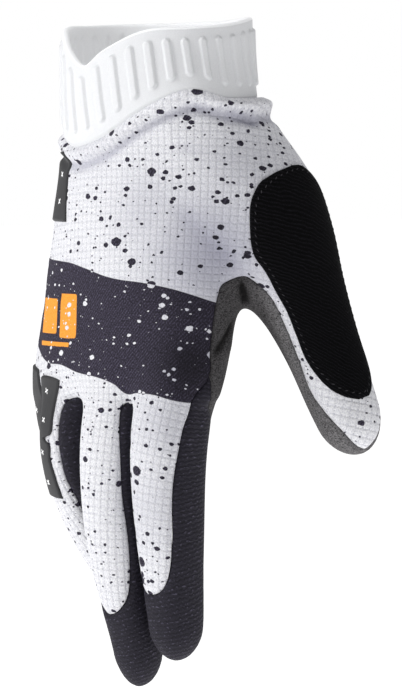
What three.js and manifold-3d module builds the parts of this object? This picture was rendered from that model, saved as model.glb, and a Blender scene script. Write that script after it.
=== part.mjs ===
// A mountain bike glove for the right hand, in the form that it keeps when it is worn.
// Millimetres, +Z up. The cuff is at the top and the fingers hang down, the back of the
// hand faces -Y, the thumb side faces +X, and the origin is the centre of the opening.
//
// The hand, each finger and the thumb are tubes lofted through tables of sections. They
// are joined, hollowed to a cloth wall, and cut along the seams into the sewn panels.

import * as THREE from 'three';
import { mergeVertices } from 'three/addons/utils/BufferGeometryUtils.js';
import Module from 'manifold-3d';

// Cuff
const cuffWidth = 70; // opening, little finger side to thumb side
const cuffDepth = 51; // opening, back to palm
const cuffHeight = 30; // rim to seam, mean round the wrist
const cuffWall = 2.2;
const rimDip = 10; // how far the rim is cut down over the back of the wrist
const ribCount = 31;
const ribWidth = 2.6;
const ribRise = 0.7;
const ribLean = 9; // degrees round the wrist from a rib's top to its bottom
const ribTopInset = 3.4; // rim to the ribs
const ribFootInset = 4.2; // ribs to the seam

// Hand
const handLength = 118; // opening to the finger crotches
const knuckleWidth = 85;
const knuckleDepth = 27;
const knuckleSetback = 9.5; // how far the knuckles stand behind the middle of the opening
const knuckleBow = 8; // crown of the row of knuckles
const fingerOverlap = 22; // how far the finger tubes run up inside the hand

// Cloth, pads and seams
const clothWall = 1.3;
const patchThickness = 0.9;
const padThickness = 1.2;
const seamGap = 0.3;
const frontHalfAngle = 40; // degrees of palm cloth each side of a finger's front

// Fingers and thumb. Across is where the root sits on the row of knuckles, from -1 on the
// little finger side to 1 on the thumb side, and facing turns the finger's back round.
const fingers = [
  { name: 'index', length: 106, width: 21.6, depth: 24.6, across: 0.68, facing: 8 },
  { name: 'middle', length: 115, width: 21.2, depth: 23.8, across: 0.18, facing: 4 },
  { name: 'ring', length: 108, width: 20.4, depth: 23.4, across: -0.33, facing: -14 },
  { name: 'little', length: 86, width: 18.4, depth: 21, across: -0.77, facing: -20 },
];
const thumb = { name: 'thumb', length: 119.5, width: 40, depth: 36, facing: 84 };
const thumbAside = 19; // root of the thumb, from the middle of the opening
const thumbForward = 2;
const thumbDown = 27;

// Sections of the hand. Down is a share of the hand's length, widen and flatten go from the
// cuff's size at 0 to the knuckles' size at 1, aside is a share of the knuckles' width.
const handSections = [
  { down: -0.06, widen: -0.02, flatten: 0, back: 0, bow: 0, aside: 0, square: 2.05 },
  { down: 0.0, widen: 0, flatten: 0, back: 0, bow: 0, aside: 0, square: 2.05 },
  { down: 0.2, widen: 0.02, flatten: 0.03, back: 0.03, bow: 0, aside: 0.008, square: 2.1 },
  { down: 0.38, widen: 0.18, flatten: 0.34, back: 0.2, bow: 0.1, aside: 0.012, square: 2.15 },
  { down: 0.52, widen: 0.38, flatten: 0.48, back: 0.38, bow: 0.25, aside: 0.005, square: 2.2 },
  { down: 0.66, widen: 0.62, flatten: 0.62, back: 0.52, bow: 0.45, aside: -0.006, square: 2.25 },
  { down: 0.8, widen: 0.78, flatten: 0.76, back: 0.63, bow: 0.75, aside: -0.01, square: 2.3 },
  { down: 0.92, widen: 0.85, flatten: 0.95, back: 0.86, bow: 0.97, aside: -0.016, square: 2.3 },
  { down: 1.0, widen: 0.8, flatten: 1.3, back: 1, bow: 1, aside: -0.022, square: 2.3 },
];

// Rim and seam of the cuff round the wrist. Round is in degrees from the middle of the back
// towards the thumb, dip is a share of rimDip, and seam is a share of cuffHeight.
const cuffEdges = [
  { round: -180, dip: 0.0, seam: 0.86 },
  { round: -138, dip: 0.05, seam: 0.92 },
  { round: -94, dip: 0.1, seam: 1.03 },
  { round: -51, dip: 0.22, seam: 1.16 },
  { round: -24, dip: 0.85, seam: 1.28 },
  { round: -10, dip: 1.08, seam: 1.25 },
  { round: 5, dip: 0.7, seam: 1.15 },
  { round: 33, dip: 0.22, seam: 0.86 },
  { round: 61, dip: 0.14, seam: 0.68 },
  { round: 86, dip: 0.08, seam: 0.78 },
  { round: 130, dip: -0.1, seam: 0.78 },
  { round: 180, dip: 0.0, seam: 0.86 },
];

// Bends of the fingers. Flex turns towards the palm and splay towards the thumb, in degrees,
// and along is a share of the finger's length.
const bends = {
  index: [
    { along: 0, flex: -11, splay: 0 },
    { along: 0.22, flex: -12, splay: 0 },
    { along: 0.42, flex: -1, splay: 1 },
    { along: 0.62, flex: 4, splay: 0 },
    { along: 0.85, flex: 8, splay: -1 },
    { along: 1, flex: -2, splay: -1 },
  ],
  middle: [
    { along: 0, flex: -12, splay: 0 },
    { along: 0.2, flex: -13, splay: -1 },
    { along: 0.4, flex: -3, splay: -1 },
    { along: 0.6, flex: 7, splay: 0 },
    { along: 0.82, flex: 14, splay: 1 },
    { along: 1, flex: 3, splay: 1 },
  ],
  ring: [
    { along: 0, flex: -10, splay: -4 },
    { along: 0.2, flex: -10, splay: -4 },
    { along: 0.38, flex: 12, splay: -3 },
    { along: 0.55, flex: 27, splay: -1 },
    { along: 0.75, flex: 37, splay: 0 },
    { along: 1, flex: 40, splay: 0 },
  ],
  little: [
    { along: 0, flex: 0, splay: -8 },
    { along: 0.2, flex: 3, splay: -9 },
    { along: 0.4, flex: 26, splay: -7 },
    { along: 0.6, flex: 40, splay: -2 },
    { along: 0.8, flex: 46, splay: 0 },
    { along: 1, flex: 48, splay: 0 },
  ],
  thumb: [
    { along: 0, flex: 15, splay: 28 },
    { along: 0.3, flex: 16, splay: 25 },
    { along: 0.6, flex: 15, splay: 18 },
    { along: 0.8, flex: 14, splay: 17 },
    { along: 1, flex: 14, splay: 18 },
  ],
};

// Girth along a finger and along the thumb, as shares of its width and depth at the root
const fingerGirth = [
  { along: 0, wide: 0.9, deep: 0.86 },
  { along: 0.12, wide: 1, deep: 0.98 },
  { along: 0.3, wide: 1, deep: 1 },
  { along: 0.45, wide: 0.96, deep: 0.95 },
  { along: 0.6, wide: 0.92, deep: 0.87 },
  { along: 0.75, wide: 0.83, deep: 0.76 },
  { along: 0.88, wide: 0.73, deep: 0.66 },
  { along: 1, wide: 0.62, deep: 0.56 },
];
const thumbGirth = [
  { along: 0, wide: 0.68, deep: 0.66 },
  { along: 0.14, wide: 0.9, deep: 0.88 },
  { along: 0.3, wide: 1, deep: 1 },
  { along: 0.42, wide: 0.9, deep: 0.88 },
  { along: 0.56, wide: 0.7, deep: 0.69 },
  { along: 0.7, wide: 0.58, deep: 0.58 },
  { along: 0.85, wide: 0.54, deep: 0.52 },
  { along: 1, wide: 0.46, deep: 0.44 },
];

// Fold of cloth between the hand and the thumb: across goes from the hand at 0 to the thumb
// at 1, tall is its half height and thick its half thickness
const webTall = 15;
const webThick = 8;
const webDown = 0.64; // where it springs from the hand, as a share of the hand's length
const webOnThumb = 0.46; // where it meets the thumb, as a share of the thumb
const webSections = [
  { across: 0, tall: 1.2, thick: 1.15 },
  { across: 0.35, tall: 1.05, thick: 1.05 },
  { across: 0.65, tall: 0.95, thick: 1 },
  { across: 1, tall: 0.9, thick: 0.9 },
];
const fingerSquare = 2.3;
const tipShare = 0.1; // share of a finger that rounds off to its tip

// Edges of the back panel. From and to are degrees round a section, from the middle of the
// back: round the hand by its length, then round each finger and the thumb by its own.
const backOnHand = [
  { along: 0.1, from: -100, to: 150 },
  { along: 0.4, from: -97, to: 146 },
  { along: 0.52, from: -95, to: 128 },
  { along: 0.64, from: -94, to: 96 },
  { along: 0.74, from: -93, to: 85 },
  { along: 0.87, from: -92, to: 88 },
  { along: 1, from: -92, to: 96 },
];
const backOnFinger = [
  { along: 0.08, from: -62, to: 62 },
  { along: 0.32, from: -60, to: 60 },
  { along: 0.6, from: -54, to: 54 },
  { along: 0.76, from: -50, to: 48 },
  { along: 0.81, from: -34, to: 30 },
  { along: 0.825, from: -12, to: 8 },
];
const backOnThumb = [
  { along: 0.04, from: -110, to: 78 },
  { along: 0.4, from: -95, to: 78 },
  { along: 0.6, from: -84, to: 76 },
  { along: 0.85, from: -82, to: 74 },
  { along: 0.93, from: -60, to: 60 },
  { along: 0.96, from: -20, to: 20 },
];
const frontOnFinger = [
  { along: 0.05, open: 1.5 },
  { along: 0.2, open: 1.3 },
  { along: 0.3, open: 1 },
  { along: 0.8, open: 1 },
  { along: 0.9, open: 0.75 },
  { along: 0.94, open: 0.3 },
];
const sleeveStart = 0.215; // where the side cloth of the fingers starts, as a share

// Outlines of the patch on the thumb and of the moulded pads, in the same angles
const patchOnThumb = [
  { along: 0.245, from: 6, to: 34 },
  { along: 0.265, from: -20, to: 52 },
  { along: 0.31, from: -40, to: 62 },
  { along: 0.38, from: -54, to: 66 },
  { along: 0.52, from: -62, to: 66 },
  { along: 0.66, from: -66, to: 64 },
  { along: 0.76, from: -57, to: 56 },
  { along: 0.815, from: -38, to: 40 },
  { along: 0.84, from: -14, to: 16 },
];
const padOnHand = [
  { along: 0.345, from: -52, to: -19 },
  { along: 0.44, from: -54, to: -22 },
  { along: 0.535, from: -58, to: -26 },
];
const padOnRing = [
  { along: 0.17, from: -46, to: 40 },
  { along: 0.3, from: -50, to: 32 },
  { along: 0.345, from: -46, to: 16 },
  { along: 0.39, from: -46, to: 28 },
  { along: 0.46, from: -42, to: 36 },
  { along: 0.52, from: -30, to: 36 },
];
const padOnLittle = [
  { along: 0.2, from: -44, to: 44 },
  { along: 0.32, from: -44, to: 40 },
  { along: 0.44, from: -40, to: 38 },
];

// How finely the forms are faceted
const handFacets = 26;
const fingerFacets = 12;
const thumbFacets = 14;
const spineSteps = 60;

const wasm = await Module();
wasm.setup();

// Value of one column of a table at a place, on a smooth curve through the rows
function readTable(rows, placeKey, key, place) {
  let i = 0;
  while (i < rows.length - 2 && place > rows[i + 1][placeKey]) i += 1;
  const slope = (a, b) => (rows[b][key] - rows[a][key]) / (rows[b][placeKey] - rows[a][placeKey]);
  const before = Math.max(i - 1, 0);
  const after = Math.min(i + 2, rows.length - 1);
  const span = rows[i + 1][placeKey] - rows[i][placeKey];
  const t = THREE.MathUtils.clamp((place - rows[i][placeKey]) / span, 0, 1);
  const leave = slope(before, i + 1) * span;
  const arrive = slope(i, after) * span;
  const cubic = 2 * t ** 3 - 3 * t ** 2;
  return (cubic + 1) * rows[i][key] - cubic * rows[i + 1][key]
    + (t ** 3 - 2 * t ** 2 + t) * leave + (t ** 3 - t ** 2) * arrive;
}

const degrees = (angle) => THREE.MathUtils.degToRad(angle);
const power = (value, exponent) => Math.sign(value) * Math.abs(value) ** exponent;

// Closed solid through rings of points. Each end closes on its hub, or on the ring's first
// point where the rings are wedges that all start at their apex.
function loft(rings, hubs) {
  const count = rings[0].length;
  const points = rings.flat().concat(hubs ?? []);
  const faces = [];
  for (let r = 0; r < rings.length - 1; r += 1) {
    for (let i = 0; i < count; i += 1) {
      const a = r * count + i;
      const b = r * count + ((i + 1) % count);
      faces.push([a, b, b + count], [a, b + count, a + count]);
    }
  }
  const last = (rings.length - 1) * count;
  const hub = hubs ? rings.length * count : 0;
  for (let i = hubs ? 0 : 1; i < (hubs ? count : count - 1); i += 1) {
    const next = (i + 1) % count;
    faces.push([hub, next, i]);
    faces.push([hubs ? hub + 1 : last, last + i, last + next]);
  }
  return solidFrom(points, faces);
}

// Manifold solid from points and faces, turned so that its faces point out
function solidFrom(points, faces) {
  let volume = 0;
  for (const [a, b, c] of faces) {
    volume += points[a].dot(new THREE.Vector3().crossVectors(points[b], points[c]));
  }
  const turned = volume < 0 ? faces.map(([a, b, c]) => [a, c, b]) : faces;
  const geometry = new THREE.BufferGeometry();
  geometry.setAttribute('position', new THREE.Float32BufferAttribute(points.flatMap((p) => p.toArray()), 3));
  geometry.setIndex(turned.flat());
  return solidOf(geometry);
}

// Manifold solid from a three.js geometry
function solidOf(geometry) {
  geometry.deleteAttribute('normal');
  geometry.deleteAttribute('uv');
  const merged = mergeVertices(geometry, 1e-4);
  return new wasm.Manifold(new wasm.Mesh({
    numProp: 3,
    vertProperties: new Float32Array(merged.attributes.position.array),
    triVerts: new Uint32Array(merged.index.array),
  }));
}

const joined = (solids) => solids.reduce((all, solid) => all.add(solid));

// Loose crumbs that a cut leaves are dropped, and the piece itself is kept
function largest(solid) {
  const parts = solid.decompose();
  return parts.reduce((best, part) => (part.volume() > best.volume() ? part : best));
}

// Hand: one section at a height, and a point round it
function handSection(z) {
  const down = -z / handLength;
  const read = (key) => readTable(handSections, 'down', key, down);
  return {
    x: read('aside') * knuckleWidth,
    y: -read('back') * knuckleSetback,
    wide: (cuffWidth + (knuckleWidth - cuffWidth) * read('widen')) / 2,
    deep: (cuffDepth + (knuckleDepth - cuffDepth) * read('flatten')) / 2,
    bow: read('bow') * knuckleBow,
    square: read('square'),
  };
}

function handPoint(angle, z, grow = 0, reach = 1) {
  const section = handSection(z);
  const across = power(Math.sin(degrees(angle)), 2 / section.square);
  const out = power(Math.cos(degrees(angle)), 2 / section.square);
  const bow = section.bow * (1 - across ** 2);
  const x = section.x + (section.wide + grow) * across * reach;
  const y = section.y - bow - (section.deep + grow) * out * reach;
  return new THREE.Vector3(x, y, z);
}

const handCentre = (z) => handPoint(0, z, 0, 0);
const rimZ = (angle) => -rimDip * readTable(cuffEdges, 'round', 'dip', angle);
const seamZ = (angle) => -cuffHeight * readTable(cuffEdges, 'round', 'seam', angle);

// Angles round a section, counted from the palm side so that the table's ends meet there
function roundAngles(count) {
  return Array.from({ length: count }, (_, i) => -180 + (360 * i) / count);
}

// Tube of the hand between two heights, each of which may change round the wrist
function handTube(topZ, footZ, grow, shares) {
  const rings = shares.map((share) => roundAngles(handFacets).map((angle) => {
    const z = topZ(angle) + (footZ(angle) - topZ(angle)) * share;
    return handPoint(angle, z, grow);
  }));
  const hubs = [rings[0], rings[rings.length - 1]].map((ring) => {
    const middle = new THREE.Vector3();
    ring.forEach((point) => middle.addScaledVector(point, 1 / ring.length));
    return middle;
  });
  return loft(rings, hubs);
}

// Fingers: the spine is walked from the root by the bends, and each step keeps its frame
function walkSpine(limb, root) {
  const rows = bends[limb.name];
  const back = new THREE.Vector3(Math.sin(degrees(limb.facing)), -Math.cos(degrees(limb.facing)), 0);
  const place = root.clone();
  const step = limb.length / spineSteps;
  const spine = [];
  for (let i = 0; i <= spineSteps; i += 1) {
    const along = i / spineSteps;
    const flex = degrees(readTable(rows, 'along', 'flex', along));
    const splay = degrees(readTable(rows, 'along', 'splay', along));
    const run = new THREE.Vector3(Math.sin(splay) * Math.cos(flex), Math.sin(flex), -Math.cos(splay) * Math.cos(flex));
    const across = new THREE.Vector3().crossVectors(back, run).normalize();
    spine.push({ place: place.clone(), run, across, back: new THREE.Vector3().crossVectors(run, across) });
    place.addScaledVector(run, step);
  }
  return spine;
}

const rootZ = -handLength + fingerOverlap;
for (const finger of fingers) {
  finger.girth = fingerGirth;
  finger.facets = fingerFacets;
  const section = handSection(rootZ);
  const x = section.x + section.wide * finger.across;
  const y = section.y - section.bow * (1 - finger.across ** 2);
  finger.spine = walkSpine(finger, new THREE.Vector3(x, y, rootZ));
}
thumb.girth = thumbGirth;
thumb.facets = thumbFacets;
thumb.spine = walkSpine(thumb, new THREE.Vector3(thumbAside, thumbForward, -thumbDown));

// One point of a finger: along it from 0 to 1, and round it in degrees from its back
function limbPoint(limb, along, angle, grow = 0, reach = 1) {
  const at = THREE.MathUtils.clamp(along, 0, 1) * spineSteps;
  const i = Math.min(Math.floor(at), spineSteps - 1);
  const here = limb.spine[i];
  const next = limb.spine[i + 1];
  const place = here.place.clone().lerp(next.place, at - i);
  const run = here.run.clone().lerp(next.run, at - i);
  const across = here.across.clone().lerp(next.across, at - i);
  const back = here.back.clone().lerp(next.back, at - i);
  const toTip = Math.max((along - (1 - tipShare)) / tipShare, 0);
  const round = Math.sqrt(Math.max(1 - toTip ** 2, 0));
  const wide = (limb.width * readTable(limb.girth, 'along', 'wide', along)) / 2 + grow;
  const deep = (limb.depth * readTable(limb.girth, 'along', 'deep', along)) / 2 + grow;
  place.addScaledVector(run, grow * toTip);
  place.addScaledVector(across, wide * round * reach * power(Math.sin(degrees(angle)), 2 / fingerSquare));
  place.addScaledVector(back, deep * round * reach * power(Math.cos(degrees(angle)), 2 / fingerSquare));
  return place;
}

const limbShares = [0, 0.18, 0.34, 0.49, 0.63, 0.76, 0.88, 0.95, 0.985];

function limbTube(limb, grow, reach = 1, start = 0) {
  const shares = limbShares.filter((share) => share > start);
  const rings = [start, ...shares].map((along) => roundAngles(limb.facets)
    .map((angle) => limbPoint(limb, along, angle, grow, reach)));
  const hubs = [limbPoint(limb, start, 0, grow, 0), limbPoint(limb, 1, 0, grow, 0)];
  return loft(rings, hubs);
}

// Web between the thumb and the hand
function webTube(grow) {
  const hand = handPoint(90, -webDown * handLength, 0, 0.4);
  const onThumb = limbPoint(thumb, webOnThumb, 0, 0, 0);
  const run = onThumb.clone().sub(hand).normalize();
  const through = new THREE.Vector3().crossVectors(run, new THREE.Vector3(0, 0, 1)).normalize();
  const upright = new THREE.Vector3().crossVectors(through, run);
  const rings = webSections.map(({ across, tall, thick }) => roundAngles(fingerFacets).map((angle) => (
    hand.clone().lerp(onThumb, across)
      .addScaledVector(upright, (webTall * tall + grow) * Math.cos(degrees(angle)))
      .addScaledVector(through, (webThick * thick + grow) * Math.sin(degrees(angle)))
  )));
  return loft(rings, [hand, onThumb]);
}

// Wedge round a hand or a finger, from its middle out past its wall, that cuts one panel.
// Spread widens it by a distance on the wall.
const handReach = 2.3; // how far past the wall it goes, as a multiple of the section
const limbReach = 1.35;
const wedgeStep = 40; // degrees between the points of its rim
const wedgeRows = 0.14; // share of the length between its rows

function wedge(rows, pointAt, span, radius, reach, spread) {
  const first = rows[0].along - spread / span;
  const last = rows[rows.length - 1].along + spread / span;
  const tableSpan = rows[rows.length - 1].along - rows[0].along;
  const rowCount = Math.max(Math.ceil(tableSpan / wedgeRows), rows.length);
  const widest = Math.max(...rows.map((row) => row.to - row.from));
  const steps = Math.ceil(widest / wedgeStep);
  const slack = THREE.MathUtils.radToDeg(spread / radius);
  const rings = [];
  for (let r = 0; r <= rowCount; r += 1) {
    const share = r / rowCount;
    const along = first + (last - first) * share;
    const place = rows[0].along + tableSpan * share;
    const from = readTable(rows, 'along', 'from', place) - slack;
    const to = readTable(rows, 'along', 'to', place) + slack;
    const ring = [pointAt(along, 0, 0)];
    for (let i = 0; i <= steps; i += 1) {
      ring.push(pointAt(along, from + ((to - from) * i) / steps, reach));
    }
    rings.push(ring);
  }
  return loft(rings, null);
}

const handWedge = (rows, spread = 0) => wedge(
  rows,
  (along, angle, reach) => handPoint(angle, -along * handLength, 0, reach),
  handLength,
  knuckleDepth / 2,
  handReach,
  spread,
);
const limbWedge = (limb, rows, spread = 0) => wedge(
  rows,
  (along, angle, reach) => limbPoint(limb, along, angle, 0, reach),
  limb.length,
  limb.depth / 3,
  limbReach,
  spread,
);

// The whole glove below the seam as one solid, grown or shrunk by a distance
const handShares = [0, 0.14, 0.3, 0.46, 0.62, 0.78, 0.9, 1];
const tubeTop = 8; // how far the hand's tube starts above the seam, before it is cut there

function gloveBody(grow) {
  const hand = handTube((angle) => seamZ(angle) + tubeTop, () => -handLength - grow, grow, handShares);
  const limbs = [...fingers, thumb].map((limb) => limbTube(limb, grow));
  return joined([hand, webTube(grow), ...limbs]);
}

// Everything above the seam, down to a drop below it, out to far past the wall
function aboveSeam(drop) {
  const far = knuckleWidth;
  const edge = (radius, height) => roundAngles(handFacets).map((angle) => new THREE.Vector3(
    radius * Math.sin(degrees(angle)),
    -radius * Math.cos(degrees(angle)),
    height(angle),
  ));
  const foot = (angle) => seamZ(angle) - drop;
  const rings = [edge(cuffDepth / 4, foot), edge(far, foot), edge(far, () => far)];
  return loft(rings, [new THREE.Vector3(0, 0, -cuffHeight), new THREE.Vector3(0, 0, far)]);
}

const bodySolid = gloveBody(0).subtract(aboveSeam(seamGap));
const shell = bodySolid.subtract(gloveBody(-clothWall));

// Seams: what belongs to the back panel, and what belongs to the sides of the fingers
function backZone(spread) {
  const onFingers = fingers.map((finger) => limbWedge(finger, backOnFinger, spread));
  return joined([handWedge(backOnHand, spread), limbWedge(thumb, backOnThumb, spread), ...onFingers]);
}

function sideZone(spread) {
  const start = sleeveStart - spread / fingers[0].length;
  const sleeves = joined(fingers.map((finger) => limbTube(finger, 0, 1.3, start)));
  const fronts = fingers.map((finger) => limbWedge(
    finger,
    frontOnFinger.map(({ along, open }) => ({
      along,
      from: 180 - frontHalfAngle * open,
      to: 180 + frontHalfAngle * open,
    })),
    -spread,
  ));
  return sleeves.subtract(joined(fronts));
}

function backPanel() {
  return largest(shell.intersect(backZone(0)));
}

function palmPanel() {
  const sides = sideZone(seamGap).add(sideZone(0));
  const back = backZone(seamGap).add(backZone(0));
  return largest(shell.subtract(back).subtract(sides));
}

// Side cloth and tips, cut apart by a slit that runs down between neighbouring fingers
function slitBetween(finger, neighbour) {
  const between = (along) => limbPoint(finger, along, 0, 0, 0)
    .lerp(limbPoint(neighbour, along, 0, 0, 0), 0.5);
  const top = between(sleeveStart);
  const foot = between(0.6);
  const slit = new THREE.BoxGeometry(seamGap, knuckleWidth, handLength);
  slit.rotateY(Math.atan2(top.x - foot.x, top.z - foot.z));
  slit.translate(top.x, top.y, top.z);
  return solidOf(slit);
}

function fingerSides() {
  const slits = fingers.slice(1).map((finger, i) => slitBetween(fingers[i], finger));
  const sides = shell.intersect(sideZone(0)).subtract(backZone(seamGap)).subtract(joined(slits));
  const parts = sides.decompose().sort((a, b) => b.volume() - a.volume()).slice(0, fingers.length);
  const middleX = (part) => (part.boundingBox().min[0] + part.boundingBox().max[0]) / 2;
  return parts.sort((a, b) => middleX(b) - middleX(a));
}

// Raised pieces lie on the cloth with the seam gap under them
function raised(zone, thickness) {
  const skin = gloveBody(seamGap + thickness).subtract(gloveBody(seamGap));
  return largest(skin.intersect(zone));
}

// Cuff: a moulded sleeve with a rounded lip and leaning ribs
const cuffRows = [
  { share: 0, proud: -0.7 },
  { share: 0.05, proud: 0 },
  { share: 0.5, proud: 0 },
  { share: 1.1, proud: 0 },
];

function ribSolid(index) {
  const top = -180 + (360 * (index + 0.5)) / ribCount;
  const half = THREE.MathUtils.radToDeg(ribWidth / (cuffWidth + cuffDepth)) * 2;
  const rows = [
    { share: 0, wide: 0.35, high: 0.1 },
    { share: 0.1, wide: 1, high: 1 },
    { share: 0.9, wide: 1, high: 1 },
    { share: 1, wide: 0.35, high: 0.1 },
  ];
  const rings = rows.map(({ share, wide, high }) => {
    const middle = top + ribLean * share;
    const angle = middle > 180 ? middle - 360 : middle;
    const topZ = rimZ(angle) - ribTopInset;
    const z = topZ + (seamZ(angle) + ribFootInset - topZ) * share;
    return [[-1, -0.5], [-0.5, ribRise], [0.5, ribRise], [1, -0.5]].map(([side, rise]) => (
      handPoint(angle + side * half * wide * 0.5, z, rise > 0 ? rise * high : rise)
    ));
  });
  return loft(rings, null);
}

function cuff() {
  const outer = cuffRows.map(({ share, proud }) => roundAngles(handFacets).map((angle) => (
    handPoint(angle, rimZ(angle) + (seamZ(angle) - rimZ(angle)) * share, proud)
  )));
  const hubs = [new THREE.Vector3(0, 0, -rimDip / 2), new THREE.Vector3(0, 0, -cuffHeight)];
  const overshoot = cuffHeight / 4;
  const bore = handTube(() => overshoot, (angle) => seamZ(angle) - overshoot, -cuffWall, [0, 0.5, 1]);
  const ribs = Array.from({ length: ribCount }, (_, i) => ribSolid(i));
  return largest(joined([loft(outer, hubs), ...ribs]).subtract(bore).intersect(aboveSeam(0)));
}

// Colours of the moulded, woven and sewn materials
const materials = {
  cuffRubber: { color: '#e9eaec', roughness: 0.55 },
  whiteMesh: { color: '#e4e4e8', roughness: 0.85 },
  greySuede: { color: '#5a5856', roughness: 0.95 },
  darkKnit: { color: '#1c1a26', roughness: 0.8 },
  blackTerry: { color: '#0d0c0f', roughness: 0.95 },
  greyRubber: { color: '#3f3f41', roughness: 0.5 },
};

const glove = new THREE.Group();

function addPiece(name, solid, materialName) {
  const { vertProperties, triVerts } = solid.getMesh();
  const geometry = new THREE.BufferGeometry();
  geometry.setAttribute('position', new THREE.Float32BufferAttribute(vertProperties, 3));
  geometry.setIndex([...triVerts]);
  geometry.computeVertexNormals();
  const material = new THREE.MeshStandardMaterial({ ...materials[materialName], metalness: 0 });
  const mesh = new THREE.Mesh(geometry, material);
  mesh.name = name;
  glove.add(mesh);
}

addPiece('cuff', cuff(), 'cuffRubber');
addPiece('back_panel', backPanel(), 'whiteMesh');
addPiece('palm_panel', palmPanel(), 'greySuede');
fingerSides().forEach((side, i) => addPiece(`${fingers[i].name}_side`, side, 'darkKnit'));
addPiece('thumb_patch', raised(limbWedge(thumb, patchOnThumb), patchThickness), 'blackTerry');
addPiece('back_pad', raised(handWedge(padOnHand), padThickness), 'greyRubber');
addPiece('ring_pad', raised(limbWedge(fingers[2], padOnRing), padThickness), 'greyRubber');
addPiece('little_pad', raised(limbWedge(fingers[3], padOnLittle), padThickness), 'greyRubber');

export default glove;
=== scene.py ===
# %% [markdown]
# # A mountain bike glove
# A slip-on glove is a handful of flat cloth panels sewn round a hand: a light mesh over the
# back, suede over the palm, stretch cloth between the fingers, and a moulded cuff. The model
# follows that. One smooth form is made for the whole glove, and it is cut along the seams
# into panels, each with its own wall, edge and cloth.

# %% The imported model and its pieces
import math

import bpy
import numpy as np
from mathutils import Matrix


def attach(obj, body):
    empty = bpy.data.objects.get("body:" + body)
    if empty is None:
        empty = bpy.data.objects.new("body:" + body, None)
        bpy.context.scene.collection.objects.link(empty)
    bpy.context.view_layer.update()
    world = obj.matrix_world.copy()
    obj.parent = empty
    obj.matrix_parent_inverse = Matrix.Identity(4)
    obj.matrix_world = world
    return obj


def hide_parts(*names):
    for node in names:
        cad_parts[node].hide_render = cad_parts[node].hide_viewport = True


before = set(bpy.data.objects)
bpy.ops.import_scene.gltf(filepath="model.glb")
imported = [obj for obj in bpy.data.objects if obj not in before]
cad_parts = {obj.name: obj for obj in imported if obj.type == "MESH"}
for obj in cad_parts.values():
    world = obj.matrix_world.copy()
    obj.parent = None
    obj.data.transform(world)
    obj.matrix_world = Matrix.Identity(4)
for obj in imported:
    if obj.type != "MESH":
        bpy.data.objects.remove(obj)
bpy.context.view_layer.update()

print("packed nodes:", sorted(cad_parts))

# %% [markdown]
# ## Camera and light
# The photo looks at the back of the hand from the thumb side, level with it and from far
# away, so that nothing is foreshortened. A long lens at a few metres gives the same view.
# The light is a soft studio one: a big key on the left, a weaker fill on the right, and
# a bright surround that leaves hardly any shadow.

# %% Camera
MM = 0.001
view_turn = math.radians(50)
view_lift = math.radians(2)
photo_scale = 0.315 * MM  # one pixel of the photo on the object
photo_size = (402, 689)
photo_origin = (157, 24)  # the pixel where the middle of the cuff's opening lies
camera_distance = 2.6
sensor_height = 36

right = np.array([math.cos(view_turn), math.sin(view_turn), 0.0])
toward = np.array([
    math.sin(view_turn) * math.cos(view_lift),
    -math.cos(view_turn) * math.cos(view_lift),
    math.sin(view_lift),
])
up = np.cross(toward, right)
up *= np.sign(up[2])


def add_object(name, data):
    """Put a new object at the origin of the scene."""
    made = bpy.data.objects.new(name, data)
    bpy.context.scene.collection.objects.link(made)
    return made


camera_data = bpy.data.cameras.new("camera")
camera_data.sensor_fit = "VERTICAL"
camera_data.sensor_height = sensor_height
camera_data.lens = sensor_height * camera_distance / (photo_size[1] * photo_scale)
camera_data.clip_end = 50
camera = add_object("camera", camera_data)
middle_right = (photo_size[0] / 2 - photo_origin[0]) * photo_scale
middle_up = (photo_origin[1] - photo_size[1] / 2) * photo_scale
camera.location = right * middle_right + up * middle_up + toward * camera_distance
camera.rotation_euler = (math.pi / 2 - view_lift, 0, view_turn)
bpy.context.scene.camera = camera
bpy.context.scene.view_settings.view_transform = "Standard"
print("lens", round(camera_data.lens), "mm")


# %% Node helpers and colours
def plug(socket, value):
    """Link an input to what another node gives, or set its value."""
    value = getattr(value, "socket", value)
    if isinstance(value, bpy.types.NodeSocket):
        socket.id_data.links.new(value, socket)
    else:
        socket.default_value = value


def set_inputs(made, inputs):
    for name, value in inputs.items():
        plug(made.inputs[name], value)


def node(tree, kind, inputs=None, **settings):
    """Add a node, set its properties, and link or set its inputs."""
    made = tree.nodes.new(kind)
    for name, value in settings.items():
        setattr(made, name, value)
    set_inputs(made, inputs or {})
    return made


def new_finish(name):
    """A new material, its node tree and its shader."""
    finish = bpy.data.materials.new(name)
    finish.use_nodes = True
    return finish, finish.node_tree, finish.node_tree.nodes["Principled BSDF"]


def linear(code):
    """Linear colour of an sRGB hex code."""
    parts = [int(code[i:i + 2], 16) / 255 for i in (1, 3, 5)]
    return (*(c / 12.92 if c <= 0.04045 else ((c + 0.055) / 1.055) ** 2.4 for c in parts), 1.0)


# %% Stage and lights
floor_drop = 0.30  # the glove is held up by the wrist, well clear of the floor
floor_reach = 9
surround_light = 0.28  # how strongly the white surround lights the glove
paper_glow = 0.85  # keeps the paper as white as the surround
lights_turn_at = -0.1  # height of the point that the lights stand round

world = bpy.data.worlds.new("studio")
world.use_nodes = True
surround = world.node_tree
path = node(surround, "ShaderNodeLightPath")
strength = node(surround, "ShaderNodeMapRange", {
    "Value": path.outputs["Is Camera Ray"], "To Min": surround_light, "To Max": 1.0})
set_inputs(surround.nodes["Background"], {
    "Color": (1, 1, 1, 1), "Strength": strength.outputs["Result"]})
bpy.context.scene.world = world

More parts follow.
